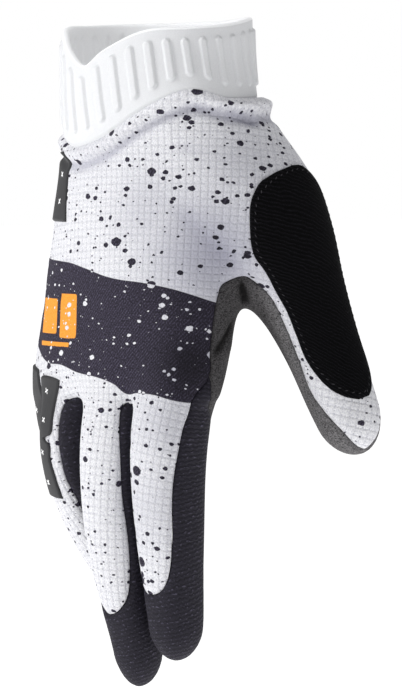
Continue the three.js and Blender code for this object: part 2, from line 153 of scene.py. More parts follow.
floor_mesh = bpy.data.meshes.new("floor")
floor_corners = [(-1, -1), (1, -1), (1, 1), (-1, 1)]
floor_mesh.from_pydata(
    [(x * floor_reach, y * floor_reach, -floor_drop) for x, y in floor_corners],
    [], [(0, 1, 2, 3)],
)
floor = add_object("floor", floor_mesh)
floor_paper, _, paper = new_finish("white_backdrop_paper")
set_inputs(paper, {"Base Color": linear("#f4f4f4"), "Roughness": 0.9,
                   "Emission Color": (1, 1, 1, 1), "Emission Strength": paper_glow})
floor_mesh.materials.append(floor_paper)

light_rows = [
    # name, turn round the object, height, distance, size, watts
    ("key", -28, 32, 0.9, 0.45, 5.3),
    ("fill", 95, 15, 1.1, 0.7, 0.6),
    ("rim", 215, 25, 1.1, 0.6, 1.4),
    ("top", 50, 80, 0.9, 0.5, 1.6),
]
for name, turn, height, distance, size, watts in light_rows:
    lamp = bpy.data.lights.new(name, "AREA")
    lamp.size = size
    lamp.energy = watts
    turn, height = math.radians(turn), math.radians(height)
    holder = add_object(name, lamp)
    holder.location = (
        distance * math.sin(turn) * math.cos(height),
        -distance * math.cos(turn) * math.cos(height),
        distance * math.sin(height) + lights_turn_at,
    )
    holder.rotation_euler = (math.pi / 2 - height, 0, turn)
print("lights:", [row[0] for row in light_rows])

# %% [markdown]
# ## The form of the hand
# The glove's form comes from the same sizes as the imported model, in millimetres: sections
# down the hand, and for each finger a spine that is walked from its root by its bends.
# Instead of lofting them as separate tubes, each is turned into a distance field, and the
# fields are blended, so that the webs between the fingers and the ball of the thumb flow
# into each other as cloth does.

# %% Sizes in mm
cuff_width, cuff_depth, cuff_height, cuff_wall = 70.0, 51.0, 30.0, 2.2
rim_dip = 12.8  # the deepest dip of the rim is about this
hand_length, knuckle_width, knuckle_depth = 118.0, 85.0, 27.0
knuckle_setback, knuckle_bow, finger_overlap = 9.5, 8.0, 22.0
cloth_wall = 1.3
tip_share = 0.1  # of a limb's length, rounded off at its tip
root_cap = 8.0  # mm, rounded off behind its root
finger_square = 2.3  # exponent of a section: 2 is an ellipse, more is squarer

# %% Tables of the hand, and of the cuff's two edges round the wrist
hand_columns = ("down", "widen", "flatten", "back", "bow", "aside", "square")
hand_rows = [
    (-0.06, -0.02, 0, 0, 0, 0, 2.05),
    (0.0, 0, 0, 0, 0, 0, 2.05),
    (0.2, 0.02, 0.03, 0.03, 0, 0.008, 2.1),
    (0.38, 0.18, 0.34, 0.2, 0.1, 0.012, 2.15),
    (0.52, 0.38, 0.48, 0.38, 0.25, 0.005, 2.2),
    (0.66, 0.62, 0.62, 0.52, 0.45, -0.006, 2.25),
    (0.8, 0.78, 0.76, 0.63, 0.75, -0.01, 2.3),
    (0.92, 0.85, 0.95, 0.86, 0.97, -0.016, 2.3),
    (1.0, 0.8, 1.3, 1, 1, -0.022, 2.3),
]
edge_columns = ("round", "dip", "seam")
edge_rows = [
    (-180, 0.0, 0.86), (-138, 0.05, 0.92), (-94, 0.1, 1.03), (-51, 0.22, 1.16),
    (-24, 0.85, 1.28), (-10, 1.08, 1.25), (5, 0.7, 1.15), (33, 0.22, 0.86),
    (61, 0.14, 0.68), (86, 0.08, 0.78), (130, -0.1, 0.78), (180, 0.0, 0.86),
]

# %% Tables of the fingers and the thumb: girths, and bends in degrees
bend_columns = ("along", "flex", "splay")
girth_columns = ("along", "wide", "deep")
finger_girth = [
    (0, 0.9, 0.86), (0.12, 1, 0.98), (0.3, 1, 1), (0.45, 0.96, 0.95), (0.6, 0.91, 0.86),
    (0.75, 0.82, 0.76), (0.88, 0.74, 0.68), (1, 0.64, 0.58),
]
thumb_girth = [
    (0, 0.68, 0.66), (0.14, 0.9, 0.88), (0.3, 1, 1), (0.42, 0.9, 0.88), (0.56, 0.7, 0.69),
    (0.7, 0.58, 0.58), (0.85, 0.54, 0.52), (1, 0.46, 0.44),
]
middle_girth = [
    (0, 0.9, 0.86), (0.12, 1, 0.98), (0.3, 0.97, 0.96), (0.45, 0.9, 0.89), (0.6, 0.85, 0.81),
    (0.75, 0.75, 0.7), (0.88, 0.65, 0.61), (1, 0.55, 0.51),
]
limbs = {
    "index": dict(
        length=104, width=22.2, depth=24.8, across=0.655, facing=8, girth=finger_girth,
        bends=[(0, -11, 0), (0.22, -12, 0), (0.42, -1, 1), (0.62, 4, 0), (0.85, 8, -5),
               (1, -2, -12)],
    ),
    "middle": dict(
        length=114, width=22.8, depth=25.6, across=0.15, facing=4, girth=middle_girth,
        bends=[(0, -12, 0), (0.2, -13, 0), (0.4, -3, 2), (0.6, 7, 2.5), (0.82, 14, -1),
               (1, 3, -14)],
    ),
    "ring": dict(
        length=108, width=20.4, depth=23.4, across=-0.33, facing=-14, girth=finger_girth,
        bends=[(0, -10, -6.5), (0.2, -10, -6.5), (0.38, 12, -3), (0.55, 27, -1),
               (0.75, 37, 0), (1, 40, 0)],
    ),
    "little": dict(
        length=86, width=18.0, depth=21, across=-0.70, facing=-20, girth=finger_girth,
        bends=[(0, 0, -6), (0.2, 3, -8), (0.4, 26, -7), (0.6, 40, -2), (0.8, 46, 0), (1, 48, 0)],
    ),
    "thumb": dict(
        length=119.5, width=40, depth=36, facing=84, girth=thumb_girth, root=(19, 2, -27),
        bends=[(0, 15, 28), (0.3, 16, 25), (0.6, 15, 18), (0.8, 14, 17), (1, 14, 18)],
    ),
}
fingers = ("index", "middle", "ring", "little")
print("limbs:", list(limbs))


# %% Reading a table on a smooth curve
def read(rows, columns, column, places):
    """Values of a column at places, on a smooth curve through the rows of a table."""
    x = np.array([row[0] for row in rows], float)
    y = np.array([row[columns.index(column)] for row in rows], float)
    places = np.asarray(places, float)
    i = np.clip(np.searchsorted(x, places, side="left") - 1, 0, len(x) - 2)
    before, after = np.maximum(i - 1, 0), np.minimum(i + 2, len(x) - 1)
    span = x[i + 1] - x[i]
    t = np.clip((places - x[i]) / span, 0, 1)
    leave = (y[i + 1] - y[before]) / (x[i + 1] - x[before]) * span
    arrive = (y[after] - y[i]) / (x[after] - x[i]) * span
    cubic = 2 * t ** 3 - 3 * t ** 2
    return ((cubic + 1) * y[i] - cubic * y[i + 1]
            + (t ** 3 - 2 * t ** 2 + t) * leave + (t ** 3 - t ** 2) * arrive)


def signed_power(value, exponent):
    return np.sign(value) * np.abs(value) ** exponent


def unit(vectors):
    return vectors / np.maximum(np.linalg.norm(vectors, axis=1), 1e-6)[:, None]


def on_section(angle, square):
    """How far across and how far out a section of unit size is at an angle in degrees."""
    turn = np.radians(angle)
    return signed_power(np.sin(turn), 2 / square), signed_power(np.cos(turn), 2 / square)


def off_section(a, b, square):
    """Angle in degrees and distance ratio of a place measured in half sizes of a section."""
    ratio = (np.abs(a) ** square + np.abs(b) ** square) ** (1 / square)
    turn = np.arctan2(signed_power(a, square / 2), signed_power(b, square / 2))
    return np.degrees(turn), ratio


def hand_section(z):
    """Middle, half width, half depth, bow and squareness of the hand at a height."""
    down = -z / hand_length
    get = lambda column: read(hand_rows, hand_columns, column, down)
    return dict(
        x=get("aside") * knuckle_width,
        y=-get("back") * knuckle_setback,
        wide=(cuff_width + (knuckle_width - cuff_width) * get("widen")) / 2,
        deep=(cuff_depth + (knuckle_depth - cuff_depth) * get("flatten")) / 2,
        bow=get("bow") * knuckle_bow,
        square=get("square"),
    )


def hand_point(angle, z, grow=0.0):
    """Points of the hand's wall at angles in degrees from the middle of its back."""
    s = hand_section(z)
    across, out = on_section(angle, s["square"])
    bow = s["bow"] * (1 - across ** 2)
    x = s["x"] + (s["wide"] + grow) * across
    y = s["y"] - bow - (s["deep"] + grow) * out
    return np.stack([x, y, z * np.ones_like(x)], -1)


def rim_z(angle):
    return -rim_dip * read(edge_rows, edge_columns, "dip", angle)


def seam_z(angle):
    return -cuff_height * read(edge_rows, edge_columns, "seam", angle)


# %% Spines of the fingers and the thumb
spine_steps = 60


def walk_spine(limb, root):
    """Places down a limb, with the ways that it runs, widens and faces at each."""
    turn = math.radians(limb["facing"])
    back_hint = np.array([math.sin(turn), -math.cos(turn), 0.0])
    along = np.linspace(0, 1, spine_steps + 1)
    flex, splay = (np.radians(read(limb["bends"], bend_columns, column, along))
                   for column in ("flex", "splay"))
    run = np.stack([np.sin(splay) * np.cos(flex), np.sin(flex), -np.cos(splay) * np.cos(flex)], 1)
    steps = run * limb["length"] / spine_steps
    limb["place"] = np.array(root) + np.vstack([np.zeros(3), np.cumsum(steps[:-1], 0)])
    limb["run"] = run
    limb["across_dir"] = unit(np.cross(back_hint, run))
    limb["back_dir"] = np.cross(run, limb["across_dir"])


root_z = -hand_length + finger_overlap
for name in fingers:
    section = hand_section(np.array(root_z))
    across = limbs[name]["across"]
    root_y = section["y"] - section["bow"] * (1 - across ** 2)
    walk_spine(limbs[name], (section["x"] + section["wide"] * across, root_y, root_z))
walk_spine(limbs["thumb"], limbs["thumb"]["root"])
for name, limb in limbs.items():
    print(name, "tip at", np.round(limb["place"][-1], 1))


# %% [markdown]
# ### From sections to a distance
# For any point, the nearest place on a spine says how far along the finger it is, at which
# angle, and how far out compared with the section there. That ratio is 1 on the cloth.
# Divided by its own slope it becomes a distance in millimetres, which can be blended.

# %% Coordinates round the hand and along a limb
block_size = 200_000  # points that are looked up at a time


def hand_coordinates(points):
    """Angle round the hand in degrees, distance ratio and radius, for points in mm."""
    s = hand_section(points[:, 2])
    a = (points[:, 0] - s["x"]) / s["wide"]
    lift = s["bow"] * (1 - np.minimum(a ** 2, 1.4))
    b = -(points[:, 1] - s["y"] + lift) / s["deep"]
    angle, ratio = off_section(a, b, s["square"])
    return angle, ratio, np.hypot(a * s["wide"], b * s["deep"])


def limb_girth(limb, along):
    """Half the width and half the depth of a limb's section, in mm."""
    return [limb[size] * read(limb["girth"], girth_columns, column, along) / 2
            for size, column in (("width", "wide"), ("depth", "deep"))]


def limb_coordinates(limb, points):
    """Share along a limb, angle round it in degrees, distance ratio and radius."""
    place, run = limb["place"], limb["run"]
    near = np.empty(len(points), int)
    for start in range(0, len(points), block_size):
        block = points[start:start + block_size]
        gap = (place ** 2).sum(1)[None, :] - 2 * block @ place.T
        near[start:start + block_size] = gap.argmin(1)
    away = points - place[near]
    ahead = (away * run[near]).sum(1)
    along = near / spine_steps + ahead / limb["length"]
    a = (away * limb["across_dir"][near]).sum(1)
    b = (away * limb["back_dir"][near]).sum(1)
    wide, deep = limb_girth(limb, np.clip(along, 0, 1))
    angle, ratio = off_section(a / wide, b / deep, finger_square)
    past_tip = np.maximum((along - (1 - tip_share)) / tip_share, 0)
    past_root = np.maximum(-along * limb["length"] / root_cap, 0)
    ratio = np.sqrt(ratio ** 2 + past_tip ** 2 + past_root ** 2)
    return along, angle, ratio, np.hypot(a, b)


# %% Blended field of the whole glove
grid_step = 1.0
grid_low = np.array([-53.0, -37.0, -214.0])
grid_high = np.array([74.0, 47.0, -12.0])
grid_shape = tuple(((grid_high - grid_low) / grid_step).astype(int) + 1)
axes = [grid_low[k] + grid_step * np.arange(grid_shape[k]) for k in range(3)]
far_away = 30.0
crotch_round, crotch_rise = 3.0, 0.5  # mm, how the hand ends between the fingers
between_fingers, thumb_blend, finger_blend = 1.2, 10.5, 4.0  # mm, width of the blends


def grid_points(low, high):
    window = [slice(*np.clip([int((low[k] - grid_low[k]) / grid_step),
                              int((high[k] - grid_low[k]) / grid_step) + 2], 0, grid_shape[k]))
              for k in range(3)]
    cut = [axes[k][window[k]] for k in range(3)]
    mesh = np.stack(np.meshgrid(*cut, indexing="ij"), -1)
    return tuple(window), mesh


def as_distance(ratio):
    """Distance in mm outside the wall, from a ratio that is 1 on it."""
    slopes = np.gradient(ratio, grid_step)
    steep = np.sqrt(sum(s ** 2 for s in slopes))
    return (ratio - 1) / np.maximum(steep, 0.01)


def blend(a, b, width):
    """Smooth minimum of two distances: the join is rounded over a width in mm."""
    h = np.clip(0.5 + 0.5 * (b - a) / width, 0, 1)
    return b + (a - b) * h - width * h * (1 - h)


def limb_field(limb, margin=9.0):
    reach = max(limb["width"], limb["depth"]) / 2 + margin
    low, high = limb["place"].min(0) - reach, limb["place"].max(0) + reach
    window, mesh = grid_points(low, high)
    ratio = limb_coordinates(limb, mesh.reshape(-1, 3))[2].reshape(mesh.shape[:3])
    field = np.full(grid_shape, far_away, np.float32)
    field[window] = np.minimum(as_distance(ratio), far_away)
    return field


whole = grid_points(grid_low, grid_high)[1]
hand_ratio = hand_coordinates(whole.reshape(-1, 3))[1].reshape(whole.shape[:3])
hand_field = as_distance(hand_ratio).astype(np.float32)
foot = (-hand_length + crotch_rise - whole[..., 2]).astype(np.float32)
hand_field = -blend(-hand_field, -foot, crotch_round)

fields = {name: limb_field(limb) for name, limb in limbs.items()}
row_of_fingers = fields["index"]
for name in fingers[1:]:
    row_of_fingers = blend(row_of_fingers, fields[name], between_fingers)
body_field = blend(hand_field, fields["thumb"], thumb_blend)
body_field = blend(body_field, row_of_fingers, finger_blend)
print("grid", grid_shape, "cells")


# %% [markdown]
# ### From the field to a mesh
# Surface nets put one point in every grid cell that the surface crosses and join the points
# of neighbouring cells with four-sided faces. The points then slide to even spacing and back
# onto the surface a few times, which leaves a calm mesh of about a millimetre.

# %% Surface nets
def surface_nets(field):
    """Points and triangles of the surface on which a grid field is zero."""
    inside = field < 0
    corner_steps = np.array([(i, j, k) for i in (0, 1) for j in (0, 1) for k in (0, 1)])
    size = np.array(field.shape) - 1
    count = sum(inside[i:i + size[0], j:j + size[1], k:k + size[2]].astype(np.int8)
                for i, j, k in corner_steps)
    cells = np.argwhere((count > 0) & (count < 8))
    number = np.full(tuple(size), -1, np.int64)
    number[tuple(cells.T)] = np.arange(len(cells))
    values = np.stack([field[tuple((cells + step).T)] for step in corner_steps], 1)
    total, hits = np.zeros((len(cells), 3)), np.zeros(len(cells))
    for a in range(8):
        for b in range(a + 1, 8):
            if np.abs(corner_steps[a] - corner_steps[b]).sum() != 1:
                continue
            va, vb = values[:, a], values[:, b]
            crossed = (va < 0) != (vb < 0)
            t = np.where(crossed, va / np.where(crossed, va - vb, 1), 0)
            spot = corner_steps[a] + t[:, None] * (corner_steps[b] - corner_steps[a])
            total += spot * crossed[:, None]
            hits += crossed
    points = grid_low + grid_step * (cells + total / hits[:, None])
    faces = []
    for axis in range(3):
        u, v = [k for k in range(3) if k != axis]
        step = np.eye(3, dtype=int)[axis]
        low = [slice(1, -1) if k != axis else slice(0, -1) for k in range(3)]
        high = [slice(1, -1) if k != axis else slice(1, None) for k in range(3)]
        a, b = inside[tuple(low)], inside[tuple(high)]
        edges = np.argwhere(a != b) + (1 - step)
        outward = a[a != b]
        ring = []
        for du, dv in ((0, 0), (1, 0), (1, 1), (0, 1)):
            cell = edges.copy()
            cell[:, u] -= du
            cell[:, v] -= dv
            ring.append(number[tuple(cell.T)])
        quad = np.stack(ring, 1)
        flip = outward if axis != 1 else ~outward
        quad[~flip] = quad[~flip][:, ::-1]
        faces.append(quad)
    quads = np.concatenate(faces)
    short = (np.linalg.norm(points[quads[:, 0]] - points[quads[:, 2]], axis=1)
             < np.linalg.norm(points[quads[:, 1]] - points[quads[:, 3]], axis=1))
    q = np.where(short[:, None], quads, np.roll(quads, -1, axis=1))
    return points, np.concatenate([q[:, [0, 1, 2]], q[:, [0, 2, 3]]])


# %% Sampling the field, and sliding points onto the surface
slope_field = [g.astype(np.float32) for g in np.gradient(body_field, grid_step)]


def sample(volume, points):
    """Value of a grid field at points, blended between the eight nearest cells' corners."""
    at = np.clip((points - grid_low) / grid_step, 0, np.array(grid_shape) - 1.001)
    base = at.astype(int)
    t = at - base
    value = 0
    for i in (0, 1):
        for j in (0, 1):
            for k in (0, 1):
                weight = (np.where(i, t[:, 0], 1 - t[:, 0]) * np.where(j, t[:, 1], 1 - t[:, 1])
                          * np.where(k, t[:, 2], 1 - t[:, 2]))
                value = value + weight * volume[base[:, 0] + i, base[:, 1] + j, base[:, 2] + k]
    return value


def slope_at(points):
    return np.stack([sample(s, points) for s in slope_field], 1)


def outward_normals(points):
    return unit(slope_at(points))


def settle(points, rounds=2):
    """Slide points along the slope of the field onto the surface."""
    for _ in range(rounds):
        slope = slope_at(points)
        steep = np.maximum((slope ** 2).sum(1), 0.05)
        points = points - slope * (sample(body_field, points) / steep)[:, None]
    return points


def sides_of(faces):
    """Every triangle's three sides, in the direction that it runs round."""
    return np.concatenate([faces[:, [0, 1]], faces[:, [1, 2]], faces[:, [2, 0]]])


def edges_of(faces):
    return np.unique(np.sort(sides_of(faces), 1), axis=0)


def relax(points, faces, free, rounds, amount=0.5):
    """Move the free points towards the mean of their neighbours, and back to the surface."""
    pairs = edges_of(faces)
    degree = np.bincount(pairs.ravel(), minlength=len(points))[:, None]
    for _ in range(rounds):
        total = np.zeros_like(points)
        for k in range(3):
            total[:, k] = (np.bincount(pairs[:, 0], points[pairs[:, 1], k], len(points))
                           + np.bincount(pairs[:, 1], points[pairs[:, 0], k], len(points)))
        moved = points + amount * (total / np.maximum(degree, 1) - points)
        points = np.where(free[:, None], settle(moved, 1), points)
    return points


# %% The glove's surface, still in one piece
net_points, net_faces = surface_nets(body_field)
net_points = relax(settle(net_points), net_faces, np.ones(len(net_points), bool), 4)
print("glove surface:", len(net_points), "points,", len(net_faces), "faces")


# %% [markdown]
# ## Seams
# A sewing pattern says where each panel ends. Here the edges are tables of angles: round
# the hand at each height, and round each finger at each share of its length. Every edge
# becomes a signed distance on the surface, below zero inside the panel. The surface is then
# cut exactly along the zero lines.

# %% Tables of the seams
cut_columns = ("along", "from", "to")
back_on_hand = [
    (0.1, -100, 150), (0.4, -97, 146), (0.52, -95, 128), (0.63, -94, 106), (0.665, -94, 97),
    (0.69, -94, 87), (0.72, -93, 84), (0.76, -93, 81), (0.82, -92, 79), (0.87, -92, 79),
    (0.91, -92, 81), (0.945, -92, 77), (1.0, -92, 52),
]
back_on_finger = [
    (0.08, -62, 62), (0.32, -60, 60), (0.6, -54, 54), (0.76, -50, 48), (0.81, -34, 30),
    (0.825, -12, 8),
]
back_on_index = [
    (0.08, -66, 62), (0.24, -76, 74), (0.3, -76, 68), (0.36, -74, 64), (0.47, -68, 54),
    (0.62, -63, 47), (0.7, -60, 40), (0.75, -52, 26), (0.785, -40, 4),
]
back_on_middle = [
    (0.08, -64, 58), (0.22, -76, 46), (0.29, -76, 49), (0.34, -74, 54), (0.4, -68, 58),
    (0.45, -62, 60), (0.55, -56, 66), (0.61, -54, 66), (0.68, -51, 60), (0.735, -44, 44),
    (0.775, -22, 8),
]
back_on_ring = [
    (0.08, -62, 50), (0.2, -60, 42), (0.25, -60, 32), (0.31, -60, 30), (0.37, -59, 34),
    (0.41, -58, 37), (0.45, -57, 45), (0.5, -56, 53), (0.6, -54, 54), (0.72, -50, 46),
    (0.785, -24, 8),
]
back_on_thumb = [
    (0.04, -110, 78), (0.4, -86, 78), (0.47, -76, 77), (0.54, -68, 76), (0.61, -72, 76),
    (0.66, -76, 76), (0.72, -81, 75), (0.8, -85, 74), (0.86, -73, 70), (0.93, -52, 60),
    (0.975, -42, 50), (1.0, -25, 25),
]
front_columns = ("along", "open")
front_on_finger = [(0.05, 1.5), (0.2, 1.3), (0.3, 1), (0.8, 1), (0.9, 0.75), (0.94, 0.3)]
front_half_angle = 40
sleeve_start = 0.195
sleeve_columns = ("round", "start")
# the index's knit starts high beside the band and gives way to suede towards the palm
sleeve_on_index = [
    (-180, 0.25), (-110, 0.205), (-60, 0.195), (48, 0.195), (70, 0.155), (84, 0.125),
    (89, 0.14), (94, 0.185), (100, 0.207), (116, 0.228), (150, 0.245), (180, 0.25),
]


# %% Signed distances to the seams
own_rows = {
    "thumb": back_on_thumb, "index": back_on_index, "middle": back_on_middle,
    "ring": back_on_ring,
}
corner_round = 2.5  # mm, at the corners where a cut ends
seam_blend = 3.5  # mm, where the back of the hand runs on into a finger's back
own_reach = 1.4  # how far past its own wall a finger's cut still counts
seam_names = ("cuff", "back", "side", "slit_1", "slit_2", "slit_3")


def cut_angles(rows, along):
    return [read(rows, cut_columns, column, along) for column in ("from", "to")]


def wedge(rows, along, angle, radius, length):
    """Distance in mm outside a panel cut between two angles, below zero inside it."""
    arc = math.radians(1) * radius
    start, end = cut_angles(rows, along)
    beside = np.maximum((start - angle) * arc, (angle - end) * arc)
    beyond = np.maximum((rows[0][0] - along) * length, (along - rows[-1][0]) * length)
    return -blend(-beside, -beyond, corner_round)


def seam_distances(points):
    """One column for each seam, and one for the distance to each finger."""
    angle, ratio, radius = hand_coordinates(points)
    down = -points[:, 2] / hand_length
    cuff_edge = points[:, 2] - seam_z(angle)
    back = wedge(back_on_hand, down, angle, radius, hand_length)
    sleeve = np.full(len(points), far_away)
    front = np.full(len(points), far_away)
    found = {name: limb_coordinates(limb, points) for name, limb in limbs.items()}
    near = {name: (ratio - 1) * radius for name, (_, _, ratio, radius) in found.items()}
    for name, limb in limbs.items():
        along, turn, ratio, radius = found[name]
        others = np.minimum.reduce([near[other] for other in limbs if other != name])
        beyond = np.maximum((ratio - own_reach) * radius, near[name] - others)
        rows = own_rows.get(name, back_on_finger)
        own_back = np.maximum(wedge(rows, along, turn, radius, limb["length"]), beyond)
        back = blend(back, own_back, seam_blend)
        if name == "thumb":
            continue
        start = sleeve_start
        if name == "index":
            start = read(sleeve_on_index, sleeve_columns, "start", turn)
        sleeve = np.minimum(sleeve, np.maximum((start - along) * limb["length"], beyond))
        opened = front_half_angle * read(front_on_finger, front_columns, "open", along)
        from_front = np.abs(turn % 360 - 180)
        palm_side = np.maximum.reduce([
            (from_front - opened) * math.radians(1) * radius,
            (front_on_finger[0][0] - along) * limb["length"],
            (along - front_on_finger[-1][0]) * limb["length"],
            beyond,
        ])
        front = np.minimum(front, palm_side)
    side = np.maximum(sleeve, -front)
    reach = [near[name] for name in fingers]
    slits = [reach[i] - reach[i + 1] for i in range(3)]
    return np.stack([cuff_edge, back, side] + slits + reach, 1)


# %% Cutting triangles along the zero line of a column
def split_triangles(points, faces, table, column):
    """Cut every triangle that the zero line crosses, so that the line becomes edges."""
    values = table[:, column]
    side = np.sign(values).astype(int)
    pairs = edges_of(faces)
    pairs = pairs[side[pairs[:, 0]] * side[pairs[:, 1]] < 0]
    keys = pairs[:, 0] * len(points) + pairs[:, 1]
    t = (values[pairs[:, 0]] / (values[pairs[:, 0]] - values[pairs[:, 1]]))[:, None]
    new_points = points[pairs[:, 0]] * (1 - t) + points[pairs[:, 1]] * t
    new_table = table[pairs[:, 0]] * (1 - t) + table[pairs[:, 1]] * t
    new_table[:, column] = 0

    def middle_of(a, b):
        key = np.minimum(a, b) * len(points) + np.maximum(a, b)
        return len(points) + np.searchsorted(keys, key)

    corner = side[faces]
    mixed = (corner.min(1) < 0) & (corner.max(1) > 0)
    pieces = [faces[~mixed]]
    todo = faces[mixed]
    corner = side[todo]
    for turn in range(3):
        a, b, c = (todo[:, (turn + k) % 3] for k in range(3))
        sa, sb, sc = (corner[:, (turn + k) % 3] for k in range(3))
        alone = (sa * sb < 0) & (sa * sc < 0)
        m, n = middle_of(a[alone], b[alone]), middle_of(a[alone], c[alone])
        pieces += [np.stack(p, 1) for p in (
            (a[alone], m, n), (m, b[alone], c[alone]), (m, c[alone], n))]
        on_line = (sa == 0) & (sb * sc < 0)
        m = middle_of(b[on_line], c[on_line])
        pieces += [np.stack(p, 1) for p in (
            (a[on_line], b[on_line], m), (a[on_line], m, c[on_line]))]
    return np.vstack([points, new_points]), np.vstack(pieces), np.vstack([table, new_table])


# %% Moving close points onto the line first, so that no sliver is cut
def snap_to_line(points, table, column, reach=0.33, step=0.15, band=2.5):
    """Move the points that lie close to the zero line onto it."""
    close = np.flatnonzero(np.abs(table[:, column]) < band)
    base = points[close]
    normal = outward_normals(base)
    first = unit(np.cross(normal, [0.31, 0.92, 0.24]))
    second = np.cross(normal, first)
    value = table[close, column]
    slopes = [(seam_distances(base + step * d)[:, column] - value) / step for d in (first, second)]
    steep = np.maximum(slopes[0] ** 2 + slopes[1] ** 2, 1e-4)
    move = -(value / steep)[:, None] * (slopes[0][:, None] * first + slopes[1][:, None] * second)
    wanted = np.linalg.norm(move, axis=1) < reach
    moved = settle(base[wanted] + move[wanted], 1)
    chosen = close[wanted]
    points[chosen] = moved
    table[chosen] = seam_distances(moved)
    table[chosen, column] = 0
    return chosen


# %% All the seams, one after the other
surface, surface_faces = net_points, net_faces
seams = seam_distances(surface)
on_seam = np.zeros(len(surface), bool)
for column in range(len(seam_names)):
    on_seam[snap_to_line(surface, seams, column)] = True
    before = len(surface)
    surface, surface_faces, seams = split_triangles(surface, surface_faces, seams, column)
    on_seam = np.append(on_seam, np.ones(len(surface) - before, bool))
surface = relax(surface, surface_faces, ~on_seam, 3, 0.4)
print("cut surface:", len(surface), "points,", len(surface_faces), "faces")

# %% Which triangle belongs to which panel
panel_names = ["back_panel", "palm_panel"] + [finger + "_side" for finger in fingers]
middle_of_face = seams[surface_faces].mean(1)
kept = middle_of_face[:, 0] < 0
surface_faces, middle_of_face = surface_faces[kept], middle_of_face[kept]
first_finger = len(seam_names)  # the columns after the seams are the distances to the fingers
nearest = middle_of_face[:, first_finger:].argmin(1)
panel = np.where(middle_of_face[:, 1] < 0, 0, np.where(middle_of_face[:, 2] < 0, 2 + nearest, 1))


# %% Stray islands go to the panel beside them
def islands(faces, label):
    """Number the connected areas of equal label, by passing the lowest number around."""
    edges = np.sort(sides_of(faces), 1)
    owner = np.tile(np.arange(len(faces)), 3)
    order = np.lexsort((edges[:, 1], edges[:, 0]))
    edges, owner = edges[order], owner[order]
    same = (edges[1:] == edges[:-1]).all(1)
    a, b = owner[:-1][same], owner[1:][same]
    alike = label[a] == label[b]
    number = np.arange(len(faces))
    while True:
        low = number.copy()
        np.minimum.at(low, a[alike], number[b[alike]])
        np.minimum.at(low, b[alike], number[a[alike]])
        low = low[low]
        if (low == number).all():
            return number, a[~alike], b[~alike]
        number = low


number, edge_a, edge_b = islands(surface_faces, panel)
sizes = np.bincount(number, minlength=len(panel))
for k in range(len(panel_names)):
    mine = np.unique(number[panel == k])
    for island in mine[sizes[mine] < sizes[mine].max()]:
        beside = np.concatenate([panel[edge_b[number[edge_a] == island]],
                                 panel[edge_a[number[edge_b] == island]]])
        if len(beside):
            panel[number == island] = np.bincount(beside).argmax()
for k, name in enumerate(panel_names):
    print(name, (panel == k).sum(), "faces")

# %% [markdown]
# ## Panels with a wall
# Each panel gets an outer face, an inner face one cloth wall inside it, and an edge between.
# The outer face dips towards its seams, because cloth turns in where it is sewn, and that
# dip makes the seam read as a line from any side.

# %% Borders, numbers stored on points, and the cloth's own map
from mathutils import kdtree


def borders(faces):
    """Directed edges that belong to one face only."""
    edges = sides_of(faces)
    _, first, count = np.unique(np.sort(edges, 1), axis=0, return_index=True, return_counts=True)
    return edges[first[count == 1]]


def distance_to(points, targets):
    tree = kdtree.KDTree(len(targets))
    for i, place in enumerate(targets):
        tree.insert(place, i)
    tree.balance()
    return np.array([tree.find(place)[2] for place in points])


def store(mesh, attributes):
    """Keep one number, or one direction, per point under each name."""
    for key, values in attributes.items():
        values = np.asarray(values, np.float32)
        kind, field = ("FLOAT", "value") if values.ndim == 1 else ("FLOAT_VECTOR", "vector")
        mesh.attributes.new(key, kind, "POINT").data.foreach_set(field, values.ravel())


def make_object(name, points, faces, attributes=None):
    """Mesh object from points in mm, smooth shaded."""
    mesh = bpy.data.meshes.new(name)
    mesh.from_pydata((np.asarray(points) * MM).tolist(), [], np.asarray(faces).tolist())
    store(mesh, attributes or {})
    mesh.shade_smooth()
    return add_object(name, mesh)


def corner_points(mesh):
    """The number of the point at each corner of each face."""
    corner = np.empty(len(mesh.loops), np.int32)
    mesh.loops.foreach_get("vertex_index", corner)
    return corner


def set_uv(thing, uv):
    """Store one flat place per point, in mm, as the UV map the cloth is printed on."""
    layer = thing.data.uv_layers.new(name="cloth")
    corner = corner_points(thing.data)
    layer.data.foreach_set("uv", np.asarray(uv, np.float32)[corner].ravel())


# %% Laying a panel flat
def unwrap(points, faces):
    """Lay a panel flat, as its pattern piece, in mm and with the hand's length upright."""
    flat = make_object("pattern", points, faces)
    bpy.context.view_layer.objects.active = flat
    flat.select_set(True)
    flat.data.uv_layers.new(name="flat")
    bpy.ops.object.mode_set(mode="EDIT")
    bpy.ops.mesh.select_all(action="SELECT")
    bpy.ops.uv.unwrap(method="ANGLE_BASED", margin=0.0)
    bpy.ops.object.mode_set(mode="OBJECT")
    mesh = flat.data
    raw = np.empty(len(mesh.loops) * 2, np.float32)
    mesh.uv_layers["flat"].data.foreach_get("uv", raw)
    uv = np.zeros((len(points), 2))
    uv[corner_points(mesh)] = raw.reshape(-1, 2)
    bpy.data.objects.remove(flat)
    bpy.data.meshes.remove(mesh)
    a, b, c = (points[faces[:, k]] for k in range(3))
    area = np.linalg.norm(np.cross(b - a, c - a), axis=1).sum()
    ua, ub, uc = (uv[faces[:, k]] for k in range(3))
    signed = ((ub - ua)[:, 0] * (uc - ua)[:, 1] - (ub - ua)[:, 1] * (uc - ua)[:, 0])
    uv *= math.sqrt(area / np.abs(signed).sum())
    if signed.sum() < 0:
        uv[:, 0] *= -1
    grid = np.c_[uv, np.ones(len(uv))]
    lean = np.linalg.lstsq(grid, points[:, 2], rcond=None)[0][:2]
    lean /= np.linalg.norm(lean)
    uv = np.stack([uv @ [lean[1], -lean[0]], uv @ lean], 1)
    return uv - [uv[:, 0].mean(), uv[:, 1].max()]


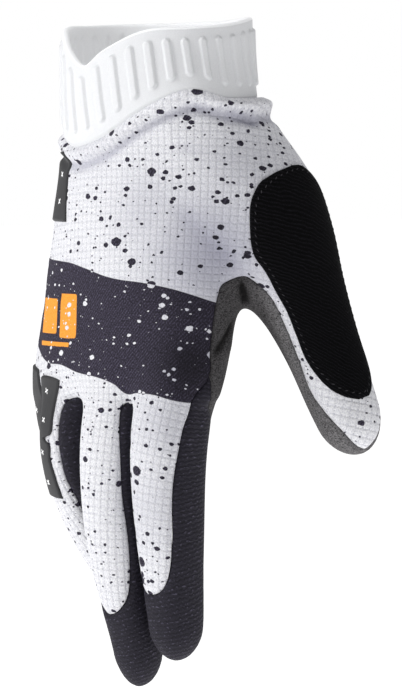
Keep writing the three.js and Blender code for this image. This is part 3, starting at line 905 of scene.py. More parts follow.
# %% Building a panel
sink, sink_width = 0.7, 1.1  # mm, how deep and how far from a seam the cloth turns in
knit_radius = 9.0  # mm, the mean girth of a finger, which sets the knit's flat width
front_cut = -179  # degrees, where a finger's knit has its one upright seam
edge_gap = 0.12  # each panel stops this far short of the seam line, in mm


def panel_piece(name, faces, limb=None, prints_and_painted_shade=None):
    """Closed piece with a wall, from the faces of the cut surface that belong to it."""
    used, faces = np.unique(faces, return_inverse=True)
    faces = faces.reshape(-1, 3)
    points = surface[used]
    rim = borders(faces)
    rim_points = np.unique(rim)
    away = distance_to(points, points[rim_points])
    normal = outward_normals(points)
    pairs = edges_of(faces)
    inner = np.ones(len(points), bool)
    inner[rim_points] = False
    towards = np.zeros_like(points)
    count = np.zeros(len(points))
    for a, b in (pairs.T, pairs[:, ::-1].T):
        ok = inner[b]
        np.add.at(towards, a[ok], points[b[ok]])
        np.add.at(count, a[ok], 1)
    pull = towards / np.maximum(count, 1)[:, None] - points
    pull *= (edge_gap / np.maximum(np.linalg.norm(pull, axis=1), 0.1))[:, None]
    points = points + pull * (~inner & (count > 0))[:, None]
    lift = relief(surface[used]) - sink * np.exp(-(away / sink_width) ** 2)
    # painted shade: the cloth's colour darkens in the dips of the folds and in the dip under the
    # roll
    crease_shade = np.clip(-folds(surface[used]) - crease_shade_from_roll * roll(surface[used]), 0, 1)
    outer = points + normal * lift[:, None]
    lining = points - normal * cloth_wall
    n = len(points)
    strip = np.concatenate([
        np.stack([rim[:, 1], rim[:, 0], rim[:, 0] + n], 1),
        np.stack([rim[:, 1], rim[:, 0] + n, rim[:, 1] + n], 1),
    ])
    all_faces = np.concatenate([faces, faces[:, ::-1] + n, strip])
    piece = make_object(name, np.vstack([outer, lining]), all_faces, {
        "crease_shade": np.tile(crease_shade, 2),
        **{key: np.tile(measure(points), 2) for key, measure in (prints_and_painted_shade or {}).items()},
    })
    if limb:
        along, turn = limb_coordinates(limb, points)[:2]
        turn = np.where(turn < front_cut, turn + 360, turn)
        uv = np.stack([np.radians(turn) * knit_radius, -along * limb["length"]], 1)
    else:
        uv = unwrap(points, faces)
    set_uv(piece, np.vstack([uv, uv]))
    print(name, n, "points,", len(all_faces), "triangles")
    return piece


# %% [markdown]
# ### Folds
# A worn glove is never as smooth as a hand. Under the cuff the cloth stands up in a soft
# roll, and creases run over the wrist and out from the web of the thumb. Each fold is one
# row: two end points on the glove, how wide it is, and how far it stands out (or dips).

# %% Folds
fold_rows = [
    # x, y, z of one end, the same of the other, width and height; the crease at the wrist
    (22, -19, -28.5, 32, -11.5, -25.2, 1.4, -1.0),
    (31, -12.5, -25.2, 36.5, -4, -27, 1.4, -1.5),
    (36, -5, -26.8, 40.5, 7, -31.5, 1.5, -1.5),
    (24, -20.5, -33.5, 40, -2, -34.5, 2.2, 0.7),
    (30, -17, -38, 40, -4, -42, 1.6, -0.5),
    # small wrinkles across the little finger's side of the hand
    (-30, -17.5, -63, -6, -25.5, -67, 1.1, -0.32),
    (-30, -18, -67.5, -4, -26, -71, 1.1, -0.38),
    (-31, -18, -72, -8, -26, -75, 1.2, -0.35),
    (-31, -19, -78, -9, -27, -80, 1.3, -0.35),
    (-31, -20, -84, -12, -27, -86, 1.3, -0.3),
    # pull lines from the web towards the wrist
    (43, -3, -76, 30, -18, -56, 3.0, -0.5),
    (45.5, 0, -76, 39, -5, -52, 2.6, 0.45),
    # the folded pocket where the palm turns under the web
    (42.0, -1.0, -80.0, 40.0, 3.6, -90.0, 0.95, -2.0),
    (43.9, 1.8, -81.5, 42.3, 5.0, -88.5, 1.1, 0.9),
    (39.8, -0.5, -92.0, 39.9, -10.0, -103.5, 1.3, -1.2),
    (40.0, 1.0, -97.0, 39.9, -9.5, -107.0, 1.3, 0.6),
    # creases where the fingers bend
    (15, -28, -131, 35, -23, -129, 1.2, -0.25),
    (17, -27, -158, 35, -23, -160, 1.3, -0.3),
    (-3, -28, -150, 13, -27, -152, 1.2, -0.3),
    (-5, -24, -168, 12, -25, -170, 1.2, -0.3),
]
roll_rows = [(1.5, 2.6, 1.9), (-1.1, 6.3, 1.7)]  # mm: height, place below the cuff, width
flare_height, flare_fade = 2.6, 9.0  # mm, and how far below the cuff it dies out
flare_middle, flare_spread = 88, 46  # degrees round the wrist
# painted shade: the share of the dip under the roll that darkens the cloth's colour
crease_shade_from_roll = 0.8


def cuff_flare(angle):
    """How far the cuff's foot and the cloth under it stand out by the thumb, in mm."""
    return flare_height * np.exp(-((angle - flare_middle) / flare_spread) ** 2)


def roll(points):
    """The soft roll of cloth right under the cuff, and the crease below it, in mm."""
    below = seam_z(hand_coordinates(points)[0]) - points[:, 2]
    return sum(height * np.exp(-((below - place) / width) ** 2)
               for height, place, width in roll_rows)


def folds(points):
    """How far the rows of the fold table alone push the cloth outwards, in mm."""
    lift = np.zeros(len(points))
    for *ends, width, height in fold_rows:
        start = np.array(ends[:3])
        run = np.array(ends[3:]) - start
        t = np.clip((points - start) @ run / (run @ run), 0, 1)
        gap = np.linalg.norm(points - start - t[:, None] * run, axis=1)
        fade = np.clip(np.minimum(t, 1 - t) * 5, 0, 1)
        lift = lift + height * np.exp(-(gap / width) ** 2) * (0.25 + 0.75 * fade)
    return lift


def relief(points):
    """How far the cloth stands out from the smooth form, in mm."""
    angle = hand_coordinates(points)[0]
    below = np.maximum(seam_z(angle) - points[:, 2], 0)
    flared = cuff_flare(angle) * np.exp(-(below / flare_fade) ** 2)
    return flared + roll(points) + folds(points)


# %% [markdown]
# ### Prints
# The back is one white cloth, printed before it is sewn. A dark band crosses the knuckles,
# and a plain orange mark sits in it. Their edges are stored as distances on the points, so
# that they stay sharp however coarse the mesh is. Soft grey clouds are painted shade, where
# the loose cloth folds.

# %% Prints on the back
print_columns = ("x", "top", "foot")
band_rows = [
    (-46, -73.0, -98.0), (-36, -73.6, -101.5), (-27, -74.3, -105.1), (-20, -74.6, -106.8),
    (-11.7, -75.1, -107.1), (-3, -76.7, -109.2), (6.5, -78.9, -110.4), (13, -79.9, -112.4),
    (16.5, -80.2, -115.4), (22, -80.8, -115.0), (30, -82.4, -115.4), (36, -84.6, -117.3),
    (40, -87.2, -119.0), (43, -90.0, -121.0),
]
band_right, band_side = 42.2, -2.0  # mm, the band's end towards the thumb and the palm
mark_bars = [
    # left, right, top, foot, how far the foot leans to the right
    (-32.0, -18.5, -86.5, -97.5, 1.2),
    (-16.5, -6.8, -84.8, -98.6, 1.6),
    (-30.0, -8.5, -100.0, -101.4, 0.0),
]


def band_depth(points):
    """Distance inside the dark band, in mm, above zero where the cloth is dark."""
    x, z = points[:, 0], points[:, 2]
    top, foot = (read(band_rows, print_columns, column, x) for column in ("top", "foot"))
    return np.minimum.reduce([top - z, z - foot, band_right - x, band_side - points[:, 1]])


def mark_depth(points):
    """Distance inside the plain orange bars, in mm."""
    x, z = points[:, 0], points[:, 2]
    best = np.full(len(points), -far_away)
    for left, right, top, foot, lean in mark_bars:
        shift = lean * (top - z) / (top - foot)
        inside = np.minimum.reduce([x - left - shift, right + shift - x, top - z, z - foot])
        best = np.maximum(best, np.where(points[:, 1] < 0, inside, -far_away))
    return best


painted_shade_rows = [
    # x, y, z, radius and strength of a cloud of painted shade on the back's cloth
    (37, -8, -72, 20, 0.7), (39, 2, -46, 16, 0.35), (22, -21, -58, 15, 0.3),
    (-2, -28, -38, 16, 0.12), (35, -14, -86, 12, 0.45), (37, -17, -106, 12, 0.7),
    (33, -22, -124, 12, 0.3), (30, -24, -150, 14, 0.22),
]


def painted_shade_share(points):
    """How strongly painted shade greys the back's cloth, from 0 to about 0.6."""
    share = np.zeros(len(points))
    for *place, radius, strength in painted_shade_rows:
        gap = np.linalg.norm(points - place, axis=1)
        share = np.maximum(share, strength * np.exp(-(gap / radius) ** 2))
    return share


# %% The panels
pieces = {}
for k, name in enumerate(panel_names):
    made_of = {"back_panel": "mesh", "palm_panel": "suede"}.get(name, "knit")
    # the back carries its prints and its painted shade as numbers on its points
    back_prints_and_shade = {"band": band_depth, "mark": mark_depth, "shade": painted_shade_share} if k == 0 else None
    pieces[name] = panel_piece(f"{name}_{made_of}", surface_faces[panel == k], prints_and_painted_shade=back_prints_and_shade,
                               limb=limbs.get(name.removesuffix("_side")))


# %% [markdown]
# ## Moulded cuff
# The cuff is one sleeve of soft rubber: a grid of rings from the seam up over the rim and
# back down inside. It follows the same wrist sections as the cloth, so it meets it all the
# way round.

# %% Cuff
cuff_turns, cuff_up, cuff_over, cuff_down = 576, 72, 9, 40
cuff_foot = 1.03  # the sleeve runs this share of its height down, a little under the cloth
ring_angles = -180 + 360 * np.arange(cuff_turns) / cuff_turns
rim, foot = rim_z(ring_angles), seam_z(ring_angles)
flare = cuff_flare(ring_angles)


def cuff_ring(share, proud, drop=0.0):
    """One ring of the sleeve, a share of the way from the rim down to the seam."""
    z = rim + (foot - rim) * share - drop
    low = np.clip((share - 0.35) / 0.65, 0, 1) ** 2
    return hand_point(ring_angles, z, proud + flare * low)


half_wall = cuff_wall / 2
rings = [cuff_ring(share, -0.6 * np.clip((share - 0.97) / 0.06, 0, 1))
         for share in np.linspace(cuff_foot, 0.0, cuff_up)]
rings += [cuff_ring(0, -half_wall + half_wall * math.cos(turn), -half_wall * 0.8 * math.sin(turn))
          for turn in np.radians(np.linspace(18, 162, cuff_over))]
rings += [cuff_ring(share, -cuff_wall) for share in np.linspace(0.0, cuff_foot, cuff_down)]
count = len(rings)
i, j = np.meshgrid(np.arange(count), np.arange(cuff_turns), indexing="ij")
here, above = i * cuff_turns, (i + 1) % count * cuff_turns
beside = (j + 1) % cuff_turns
cuff_faces = np.stack([here + j, here + beside, above + beside, above + j], -1).reshape(-1, 4)
is_lining = np.repeat(np.arange(count) >= cuff_up, cuff_turns)
pieces["cuff"] = make_object("cuff_rubber", np.concatenate(rings), cuff_faces, {
    "round": np.tile(ring_angles, count), "lining": is_lining.astype(float)})
print("cuff:", len(cuff_faces) * 2, "triangles")

# %% [markdown]
# ## Raised pieces
# The terry patch on the thumb and the three moulded pads lie on top of the cloth. Each is
# a grid between two angles along its limb, laid onto the blended surface, with its own
# thickness and a softly rounded edge.

# %% Outlines of the patch and the pads
patch_thickness, pad_thickness = 0.8, 0.7
sewn_lift, sewn_sink = 0.1, 0.25  # mm, how far a raised piece stands off and reaches into the cloth
pad_radius_share, pad_arc_share = 0.5, 0.4  # of the knuckles' width, for the pad on the hand
patch_on_thumb = [
    (0.256, 2, 24), (0.262, -11, 33), (0.275, -19, 41), (0.295, -28, 49), (0.335, -38, 60),
    (0.415, -53, 66), (0.47, -52, 66), (0.53, -54, 66), (0.585, -54, 66), (0.65, -58, 66),
    (0.715, -61, 63), (0.77, -53, 57), (0.815, -39, 46), (0.845, -21, 34), (0.866, 0, 20),
]
pad_on_hand = [
    (0.34, -34, -31), (0.352, -45, -30), (0.38, -55, -29.5), (0.416, -58, -29),
    (0.469, -58, -27.5), (0.528, -58, -24),
]
pad_on_ring = [
    (0.165, -36, 31), (0.227, -38, 21), (0.27, -40, 18), (0.308, -43, 15), (0.32, -44, -3),
    (0.334, -46, 12), (0.366, -46, 11), (0.404, -45, 16), (0.47, -42, 22),
]
pad_on_little = [
    (0.15, -44, 35), (0.214, -44, 31), (0.283, -42, 19), (0.346, -40, 9), (0.38, -36, 0),
]


# %% A raised piece on the cloth
def limb_point(limb, along, angle):
    """Points of a limb's wall at shares of its length and angles in degrees."""
    at = np.clip(along, 0, 1) * spine_steps
    i = np.minimum(at.astype(int), spine_steps - 1)
    t = (at - i)[..., None]
    mix = lambda key: limb[key][i] * (1 - t) + limb[key][i + 1] * t
    wide, deep = limb_girth(limb, along)
    across, out = on_section(angle, finger_square)
    return (mix("place") + mix("across_dir") * (wide * across)[..., None]
            + mix("back_dir") * (deep * out)[..., None])


def raised_piece(name, rows, limb, thickness, step, bevel):
    """Closed piece on the cloth between two angles that change along a limb or the hand."""
    length = limb["length"] if limb else hand_length
    span = rows[-1][0] - rows[0][0]
    n = int(round(span * length / step)) + 1
    half_width = (limb["width"] if limb else knuckle_width * pad_radius_share) / 2
    widest = max(row[2] - row[1] for row in rows)
    m = int(round(math.radians(widest) * half_width / step)) + 1
    along, share = np.meshgrid(np.linspace(rows[0][0], rows[-1][0], n), np.linspace(0, 1, m),
                               indexing="ij")
    start, end = cut_angles(rows, along)
    angle = start + (end - start) * share
    if limb:
        points = limb_point(limb, along, angle).reshape(-1, 3)
    else:
        points = hand_point(angle, -along * hand_length).reshape(-1, 3)
    points = settle(points, 4)
    number = np.arange(n * m).reshape(n, m)
    quads = np.stack([number[:-1, :-1], number[:-1, 1:], number[1:, 1:], number[1:, :-1]], -1)
    quads = quads.reshape(-1, 4)
    edge = np.concatenate([number[0, :], number[1:, -1], number[-1, -2::-1], number[-2:0:-1, 0]])
    away = distance_to(points, points[edge])
    normal = outward_normals(points)
    lift = relief(points) + sewn_lift
    rounding = np.sqrt(np.clip(1 - (1 - np.minimum(away / bevel, 1)) ** 2, 0, 1))
    top = points + normal * (lift + thickness * (0.25 + 0.75 * rounding))[:, None]
    under = points + normal * (lift - sewn_sink)[:, None]
    total = n * m
    around = np.roll(edge, -1)
    skirt = np.stack([edge, around, around + total, edge + total], 1)
    a, b, c = (top[quads[:, k]] for k in range(3))
    if (np.cross(b - a, c - a) * normal[quads[:, 0]]).sum() > 0:
        skirt = skirt[:, ::-1]
    else:
        quads = quads[:, ::-1]
    faces = np.vstack([quads, quads[:, ::-1] + total, skirt])
    arc = np.radians(angle) * (half_width if limb else knuckle_width * pad_arc_share)
    uv = np.stack([arc.ravel(), (-along * length).ravel()], 1)
    piece = make_object(name, np.vstack([top, under]), faces, {"edge": np.tile(away, 2)})
    set_uv(piece, np.vstack([uv, uv]))
    print(name, len(faces) * 2, "triangles")
    return piece, dict(points=points, normal=normal, top=top, shape=(n, m), edge=edge)


# %% The patch and the three pads
pieces["thumb_patch"], patch_grid = raised_piece(
    "thumb_patch_terry", patch_on_thumb, limbs["thumb"], patch_thickness, 0.6, 1.0)
pads = {}
for name, rows, limb in (
    ("back_pad", pad_on_hand, None),
    ("ring_pad", pad_on_ring, limbs["ring"]),
    ("little_pad", pad_on_little, limbs["little"]),
):
    pieces[name], pads[name] = raised_piece(
        name + "_rubber", rows, limb, pad_thickness, 0.45, 0.45)

# %% [markdown]
# ## Cloths and rubbers
# The fabrics are drawn in the shader, on the flat pattern of each panel, in real
# millimetres. A lattice gives the mesh its cells, waves give the knit and the terry their
# rows, and fine noise gives the suede its nap. Only colour and bump change, not the shape.

# %% Small parts that the cloths share
class Value:
    """A number in a node tree. Reckoning with it adds Math nodes, and a | b is the larger."""

    def __init__(self, socket):
        self.socket = socket

    def math(self, operation, *others, clamp=False):
        tree = self.socket.id_data
        made = node(tree, "ShaderNodeMath", operation=operation, use_clamp=clamp)
        for socket, value in zip(made.inputs, (self, *others)):
            plug(socket, value)
        return Value(made.outputs["Value"])

    def __add__(self, other):
        return self.math("ADD", other)

    def __sub__(self, other):
        return self.math("SUBTRACT", other)

    def __rsub__(self, other):
        return self.math("MULTIPLY_ADD", -1.0, other)

    def __mul__(self, other):
        return self.math("MULTIPLY", other)

    def __truediv__(self, other):
        return self.math("DIVIDE", other)

    def __or__(self, other):
        return self.math("MAXIMUM", other)

    def __abs__(self):
        return self.math("ABSOLUTE")


def flat_place(tree, turn=0.0, stretch=(1, 1, 1)):
    """Place on the panel's flat pattern in mm, turned by degrees and stretched."""
    uv = node(tree, "ShaderNodeUVMap", uv_map="cloth")
    return node(tree, "ShaderNodeMapping", {
        "Vector": uv.outputs["UV"], "Rotation": (0, 0, math.radians(turn)),
        "Scale": stretch}).outputs["Vector"]


def solid_place(tree):
    """Place in the glove in mm, for stuff that has no pattern piece."""
    place = node(tree, "ShaderNodeTexCoord").outputs["Object"]
    return node(tree, "ShaderNodeMapping", {
        "Vector": place, "Scale": (1 / MM, 1 / MM, 1 / MM)}).outputs["Vector"]


def axis(place, name):
    return Value(node(place.id_data, "ShaderNodeSeparateXYZ", {"Vector": place}).outputs[name])


def attribute(tree, name):
    return Value(node(tree, "ShaderNodeAttribute", attribute_name=name).outputs["Fac"])


def noise(place, scale, detail=2.0, roughness=0.5):
    return Value(node(place.id_data, "ShaderNodeTexNoise", {
        "Vector": place, "Scale": scale, "Detail": detail,
        "Roughness": roughness}).outputs["Fac"])


def threshold(value, low, high):
    """0 below low, 1 above high, with a smooth step between."""
    made = node(value.socket.id_data, "ShaderNodeMapRange", {
        "Value": value, "From Min": low, "From Max": high}, interpolation_type="SMOOTHSTEP")
    return Value(made.outputs["Result"])


def waves(place, pitch):
    """Even waves from -1 to 1, a pitch in mm apart."""
    return (place * (2 * math.pi / pitch)).math("SINE")


def groove(place, pitch, width):
    """1 on evenly spaced lines and 0 between them, for a place along one direction."""
    phase = (place * (1 / pitch)).math("FRACT")
    return threshold(pitch / 2 - abs(phase - 0.5) * pitch, width, 0.0)


def mix_colour(share, a, b):
    """Blend of two colours, each a hex code or an earlier blend."""
    made = node(share.socket.id_data, "ShaderNodeMix", data_type="RGBA")
    sockets = made.inputs["Factor"], made.inputs[6], made.inputs[7]
    for socket, value in zip(sockets, (share, a, b)):
        plug(socket, linear(value) if isinstance(value, str) else value)
    return made.outputs[2]


def dress(shader, colour, roughness, specular=0.5, height=None, depth=0.0):
    """Give a shader its colour, its shine and a relief that is a depth in mm at most."""
    set_inputs(shader, {"Base Color": colour, "Roughness": roughness,
                        "Specular IOR Level": specular})
    if height:
        bump = node(shader.id_data, "ShaderNodeBump", {
            "Height": height, "Distance": depth * MM, "Strength": 1.0})
        plug(shader.inputs["Normal"], bump.outputs["Normal"])


def add_sheen(shader, weight, colour):
    set_inputs(shader, {"Sheen Weight": weight, "Sheen Tint": linear(colour),
                        "Sheen Roughness": 0.5})


# %% Speckle: drops of ink of every size, some run together
drop_rows = [
    # spacing, radius of the smallest, what the largest adds, how rare large ones are, shift
    (3.0, -0.45, 0.98, 1.0, 3.0), (3.8, -0.35, 1.32, 1.1, 11.0), (7.4, -0.6, 2.3, 1.6, 29.0),
]
wobble_scale, wobble_reach = 0.9, 0.9  # how the drops' edges stray from a circle


def vector(tree, operation, inputs):
    return node(tree, "ShaderNodeVectorMath", inputs, operation=operation).outputs[0]


def speckle(tree, place, shrink):
    """1 in a drop of ink and 0 on bare cloth. The drops are scattered at random."""
    wobble = node(tree, "ShaderNodeTexNoise", {
        "Vector": place, "Scale": wobble_scale, "Detail": 2.0}).outputs["Color"]
    shift = vector(tree, "SUBTRACT", {0: wobble, 1: (0.5, 0.5, 0.5)})
    shift = vector(tree, "SCALE", {0: shift, 3: wobble_reach})
    bent = vector(tree, "ADD", {0: place, 1: shift})
    crowd = threshold(noise(place, 0.055, 1.0), 0.3, 0.72) * 0.5 + 0.62
    masks = []
    for spacing, least, spread, rare, seed in drop_rows:
        cell = node(tree, "ShaderNodeTexVoronoi", {
            "Vector": vector(tree, "ADD", {0: bent, 1: (seed, seed * 1.7, 0)}),
            "Scale": 1 / spacing, "Randomness": 1.0}, voronoi_dimensions="2D")
        pick = node(tree, "ShaderNodeSeparateColor", {"Color": cell.outputs["Color"]})
        size = Value(pick.outputs["Red"]).math("POWER", rare) * crowd
        radius = size * spread + least - shrink
        depth = radius - Value(cell.outputs["Distance"]) * spacing
        masks.append(threshold(depth, -0.06, 0.06))
    return masks[0] | masks[1] | masks[2]


# %% White polyester mesh: a lattice of dotted lines round shallow, uneven cells
mesh_cell = 2.34  # mm across one cell of the lattice
twill_pitch = 0.95  # mm between the slanted lines seen in the dark print
line_width, column_dots, row_dots = 0.62, 0.34, 0.28  # mm
ticks_per_cell = 3
white_mesh, tree, shader = new_finish("white_polyester_mesh")
place = flat_place(tree)
x, y = axis(place, "X"), axis(place, "Y")
columns, rows = groove(x, mesh_cell, line_width), groove(y, mesh_cell, line_width)
ticks_across, ticks_down = [
    threshold(waves(way, mesh_cell / ticks_per_cell), -0.3, 0.7) for way in (x, y)]
dotted = (groove(x, mesh_cell, column_dots) * ticks_down
          | groove(y, mesh_cell, row_dots) * (ticks_across * 0.55))
broken = threshold(noise(place, 1.1, 1.0), 0.38, 0.62)
lines = dotted * (broken * 0.35 + 0.28) | columns * rows * 0.5
loops = noise(flat_place(tree, 0, (2.6, 1.5, 1)), 1.0, 2.0, 0.6)
uneven = threshold(loops, 0.3, 0.7)
white = mix_colour(uneven, "#c9c9d0", "#ebebed")
# painted shade: soft grey clouds darken the white cloth
white = mix_colour(attribute(tree, "shade"), white, "#7f7f93")
# painted shade in the dips of the folds
white = mix_colour(attribute(tree, "crease_shade") * 0.55, white, "#85859a")
white = mix_colour(lines, white, "#9d9daa")

# %% The dark print with its twill, the drops, and the plain orange mark
twill = threshold(waves(axis(flat_place(tree, 38), "X"), twill_pitch), -0.6, 1.0)
twill = twill * threshold(loops, 0.4, 0.65)
dark = mix_colour(uneven, "#18151f", "#35303f")
dark = mix_colour(twill * 0.6, dark, "#5b566b")
# painted shade: the same clouds darken the dark print, most at the band's thumb end
dark = mix_colour(attribute(tree, "shade"), dark, "#050409")
in_band = threshold(attribute(tree, "band"), -0.12, 0.12)
in_mark = threshold(attribute(tree, "mark"), -0.1, 0.1)
drops = speckle(tree, flat_place(tree, 9, (0.84, 1.18, 1)), in_band * 0.15)
ink = mix_colour(abs(in_band - drops), white, dark)
bare = in_mark * (1.0 - drops)
orange = mix_colour(uneven, "#e08f30", "#f0a040")
print_cover = 1.0 - (bare | in_band) * 0.75
dress(shader, mix_colour(bare, ink, orange), 0.78, 0.2,
      (1.0 - (columns | rows) + loops * 0.9) * print_cover, 0.2)

# %% Dark stretch knit: wavy rows across the finger, dark between the threads, with painted highlights on the rows
wale, course, knit_turn = 1.7, 1.4, -11  # mm from wave to wave, mm from row to row, degrees
dark_knit, tree, shader = new_finish("dark_stretch_knit")
place = flat_place(tree, knit_turn)
sway = noise(place, 0.5, 2.0) * 1.2 + waves(axis(place, "X"), wale) * 0.14
rows = waves(axis(place, "Y") + sway, course)
fuzz = noise(flat_place(tree, knit_turn, (0.8, 1.3, 1)), 1.0, 2.0, 0.7)
gap = threshold(rows, 0.15, 0.95) * threshold(fuzz, 0.42, 0.62)
# painted highlight: the crests of the rows are lightened
painted_glint = threshold(rows, 0.2, -0.8) * threshold(fuzz, 0.54, 0.68)
thread = mix_colour(noise(place, 2.6, 3.0, 0.7), "#0d0c12", "#2c2935")
thread = mix_colour(painted_glint * 0.6, thread, "#5d596c")
thread = mix_colour(gap * 0.7, thread, "#07060a")
dress(shader, thread, 0.72, 0.2, rows * -0.3 + fuzz, 0.2)
add_sheen(shader, 0.03, "#8f8ba8")

# %% Black terry of the thumb patch: short ribs on a slant, flat along the hem
terry_rib, terry_turn = 1.18, 36  # mm from rib to rib, degrees
black_terry, tree, shader = new_finish("black_cotton_terry")
place = flat_place(tree, terry_turn)
ribs = waves(axis(place, "Y") + noise(place, 0.35, 2.0) * 1.4, terry_rib)
loops = noise(flat_place(tree, terry_turn, (2.6, 4.2, 1)), 1.0, 3.0, 0.7)
hem = threshold(attribute(tree, "edge"), 1.9, 1.3)
pile = (ribs * 0.5 + loops * 2.0) * (1.0 - hem * 0.75)
tips = threshold(loops, 0.42, 0.68) * threshold(ribs, -0.3, 0.9)
dress(shader, mix_colour(tips * 0.7, "#020203", "#29272e"), 0.9, 0.08, pile, 0.22)
add_sheen(shader, 0.01, "#8a8890")

# %% Grey suede of the palm: short light and dark fibres, with painted light on the thumb side
thumb_light_from, thumb_light_to = 43.0, 49.0  # mm towards the thumb
grey_suede, tree, shader = new_finish("grey_synthetic_suede")
place = solid_place(tree)
strand_place = node(tree, "ShaderNodeMapping", {
    "Vector": place, "Rotation": (0.5, 0.3, 0.9), "Scale": (1.2, 1.2, 4.5)}).outputs["Vector"]
heather = noise(place, 1.7, 4.0, 0.8) * 0.55 + noise(strand_place, 1.2, 2.0, 0.7) * 0.45
light_share = threshold(heather, 0.36, 0.64)
# painted light: the suede is lightened on the thumb side, where the key light falls on it
painted_thumb_light = threshold(axis(place, "X"), thumb_light_from, thumb_light_to) * light_share
nap = mix_colour(light_share, "#121112", "#605e60")
nap = mix_colour(painted_thumb_light * 0.6, nap, "#a09ea0")
nap = mix_colour(noise(place, 0.12, 2.0) * 0.35, nap, "#2b2a2a")
# painted shade in the dips of the folds, nearly black on the suede
nap = mix_colour(attribute(tree, "crease_shade") * 0.9, nap, "#060505")
dress(shader, nap, 0.95, 0.15, heather, 0.3)
add_sheen(shader, 0.08, "#b5b2ae")

# %% Soft white rubber of the cuff, with a sandy grain, and the grey rubber of the pads
cuff_rubber, tree, shader = new_finish("soft_white_rubber")
grain = noise(solid_place(tree), 2.8, 2.0, 0.6)
dress(shader, mix_colour(grain, "#cfd0d3", "#e0e1e3"), 0.55, 0.35, grain, 0.05)
# painted light: the inside of the sleeve glows faintly, standing in for light let through the
# rubber, so it is never in full shade
set_inputs(shader, {"Emission Color": (1, 1, 1, 1),
                    "Emission Strength": attribute(tree, "lining") * 0.25})

grey_rubber, tree, shader = new_finish("moulded_grey_rubber")
grain = noise(solid_place(tree), 2.2, 2.0, 0.5)
dress(shader, mix_colour(grain, "#2b2b2d", "#353537"), 0.6, 0.35, grain, 0.04)

# %% Thread of the patch's seam and the small white marks moulded into the pads
seam_thread, _, shader = new_finish("dark_polyester_thread")
dress(shader, linear("#2e2c31"), 0.7)
white_rubber, _, shader = new_finish("white_mark_rubber")
dress(shader, linear("#ffffff"), 0.6)

cloths = {
    "back_panel": ("white_mesh", white_mesh), "palm_panel": ("grey_suede", grey_suede),
    "cuff": ("cuff_rubber", cuff_rubber), "thumb_patch": ("black_terry", black_terry),
    **{finger + "_side": ("dark_knit", dark_knit) for finger in fingers},
    **{pad: ("grey_rubber", grey_rubber) for pad in pads},
}
for name, (_, cloth) in cloths.items():
    pieces[name].data.materials.append(cloth)
print("finishes:", sorted({slot for slot, _ in cloths.values()}))

# %% [markdown]
# ## What repeats: ribs, stitches and cross marks
# Geometry Nodes make these, each from one tree with named sizes. The cuff's ribs are pushed
# out of its wall where a rib's own capsule shape reaches. Stitches and marks are one small
# solid set on many points, each turned along its row and away from the cloth.

# %% Helpers for the node trees
def new_tree(name, sizes):
    """A node tree with named sizes, and its inputs to reckon with."""
    tree = bpy.data.node_groups.new(name, "GeometryNodeTree")
    kinds = {"Geometry": "Geometry", **dict.fromkeys(sizes, "Float"), "Material": "Material"}
    for key, kind in kinds.items():
        socket = tree.interface.new_socket(key, in_out="INPUT", socket_type="NodeSocket" + kind)
        if key in sizes:
            socket.default_value = sizes[key]
    tree.interface.new_socket("Geometry", in_out="OUTPUT", socket_type="NodeSocketGeometry")
    given = tree.nodes.new("NodeGroupInput")
    return tree, {key: Value(given.outputs[key]) for key in kinds}


def close_tree(tree, source, given):
    """End in Realize Instances and Set Material."""
    solid = node(tree, "GeometryNodeRealizeInstances", {"Geometry": source})
    dressed = node(tree, "GeometryNodeSetMaterial", {
        "Geometry": solid.outputs["Geometry"], "Material": given["Material"]})
    node(tree, "NodeGroupOutput", {"Geometry": dressed.outputs["Geometry"]})


def named(tree, name, kind="FLOAT"):
    return Value(node(tree, "GeometryNodeInputNamedAttribute", {"Name": name},
                      data_type=kind).outputs["Attribute"])


def run_tree(thing, tree, values, name):
    """Set the sizes by the sockets' identifiers, run the tree, and keep a plain mesh."""
    modifier = thing.modifiers.new(tree.name, "NODES")
    modifier.node_group = tree
    for item in tree.interface.items_tree:
        if item.item_type == "SOCKET" and item.in_out == "INPUT" and item.name in values:
            modifier[item.identifier] = values[item.name]
    graph = bpy.context.evaluated_depsgraph_get()
    mesh = bpy.data.meshes.new_from_object(thing.evaluated_get(graph), depsgraph=graph)
    mesh.name = name
    thing.modifiers.remove(modifier)
    bpy.data.objects.remove(thing)
    mesh.shade_smooth()
    print(name, len(mesh.polygons), "faces")
    return add_object(name, mesh)


# %% Ribs of the cuff
rib_sizes = {"Count": 31.0, "Width": 3.0, "Rise": 0.9, "Lean": 3.5, "Soft Edge": 0.65}
rib_top_inset, rib_foot_inset = 2.6, 4.0
lining_push = -0.8  # the ribs show as hollows inside the sleeve, a little shallower
tree, given = new_tree("cuff_ribs", rib_sizes)
turn = (named(tree, "round") - named(tree, "rib_share") * given["Lean"] + 180.0) / 360.0
phase = (turn * given["Count"]).math("FRACT")
across = abs(phase - 0.5) * (named(tree, "girth") / given["Count"])
half = given["Width"] * 0.5
past = named(tree, "rib_past") + half | 0.0
reach = (across * across + past * past).math("SQRT")
inside = (half - reach).math("DIVIDE", given["Soft Edge"], clamp=True)
swell = inside * 2.0 - inside * inside
amount = swell * given["Rise"] * named(tree, "outward") * MM
normal = node(tree, "GeometryNodeInputNormal").outputs["Normal"]
moved = node(tree, "GeometryNodeSetPosition", {
    "Geometry": given["Geometry"], "Offset": vector(tree, "SCALE", {0: normal, 3: amount})})
close_tree(tree, moved.outputs["Geometry"], given)

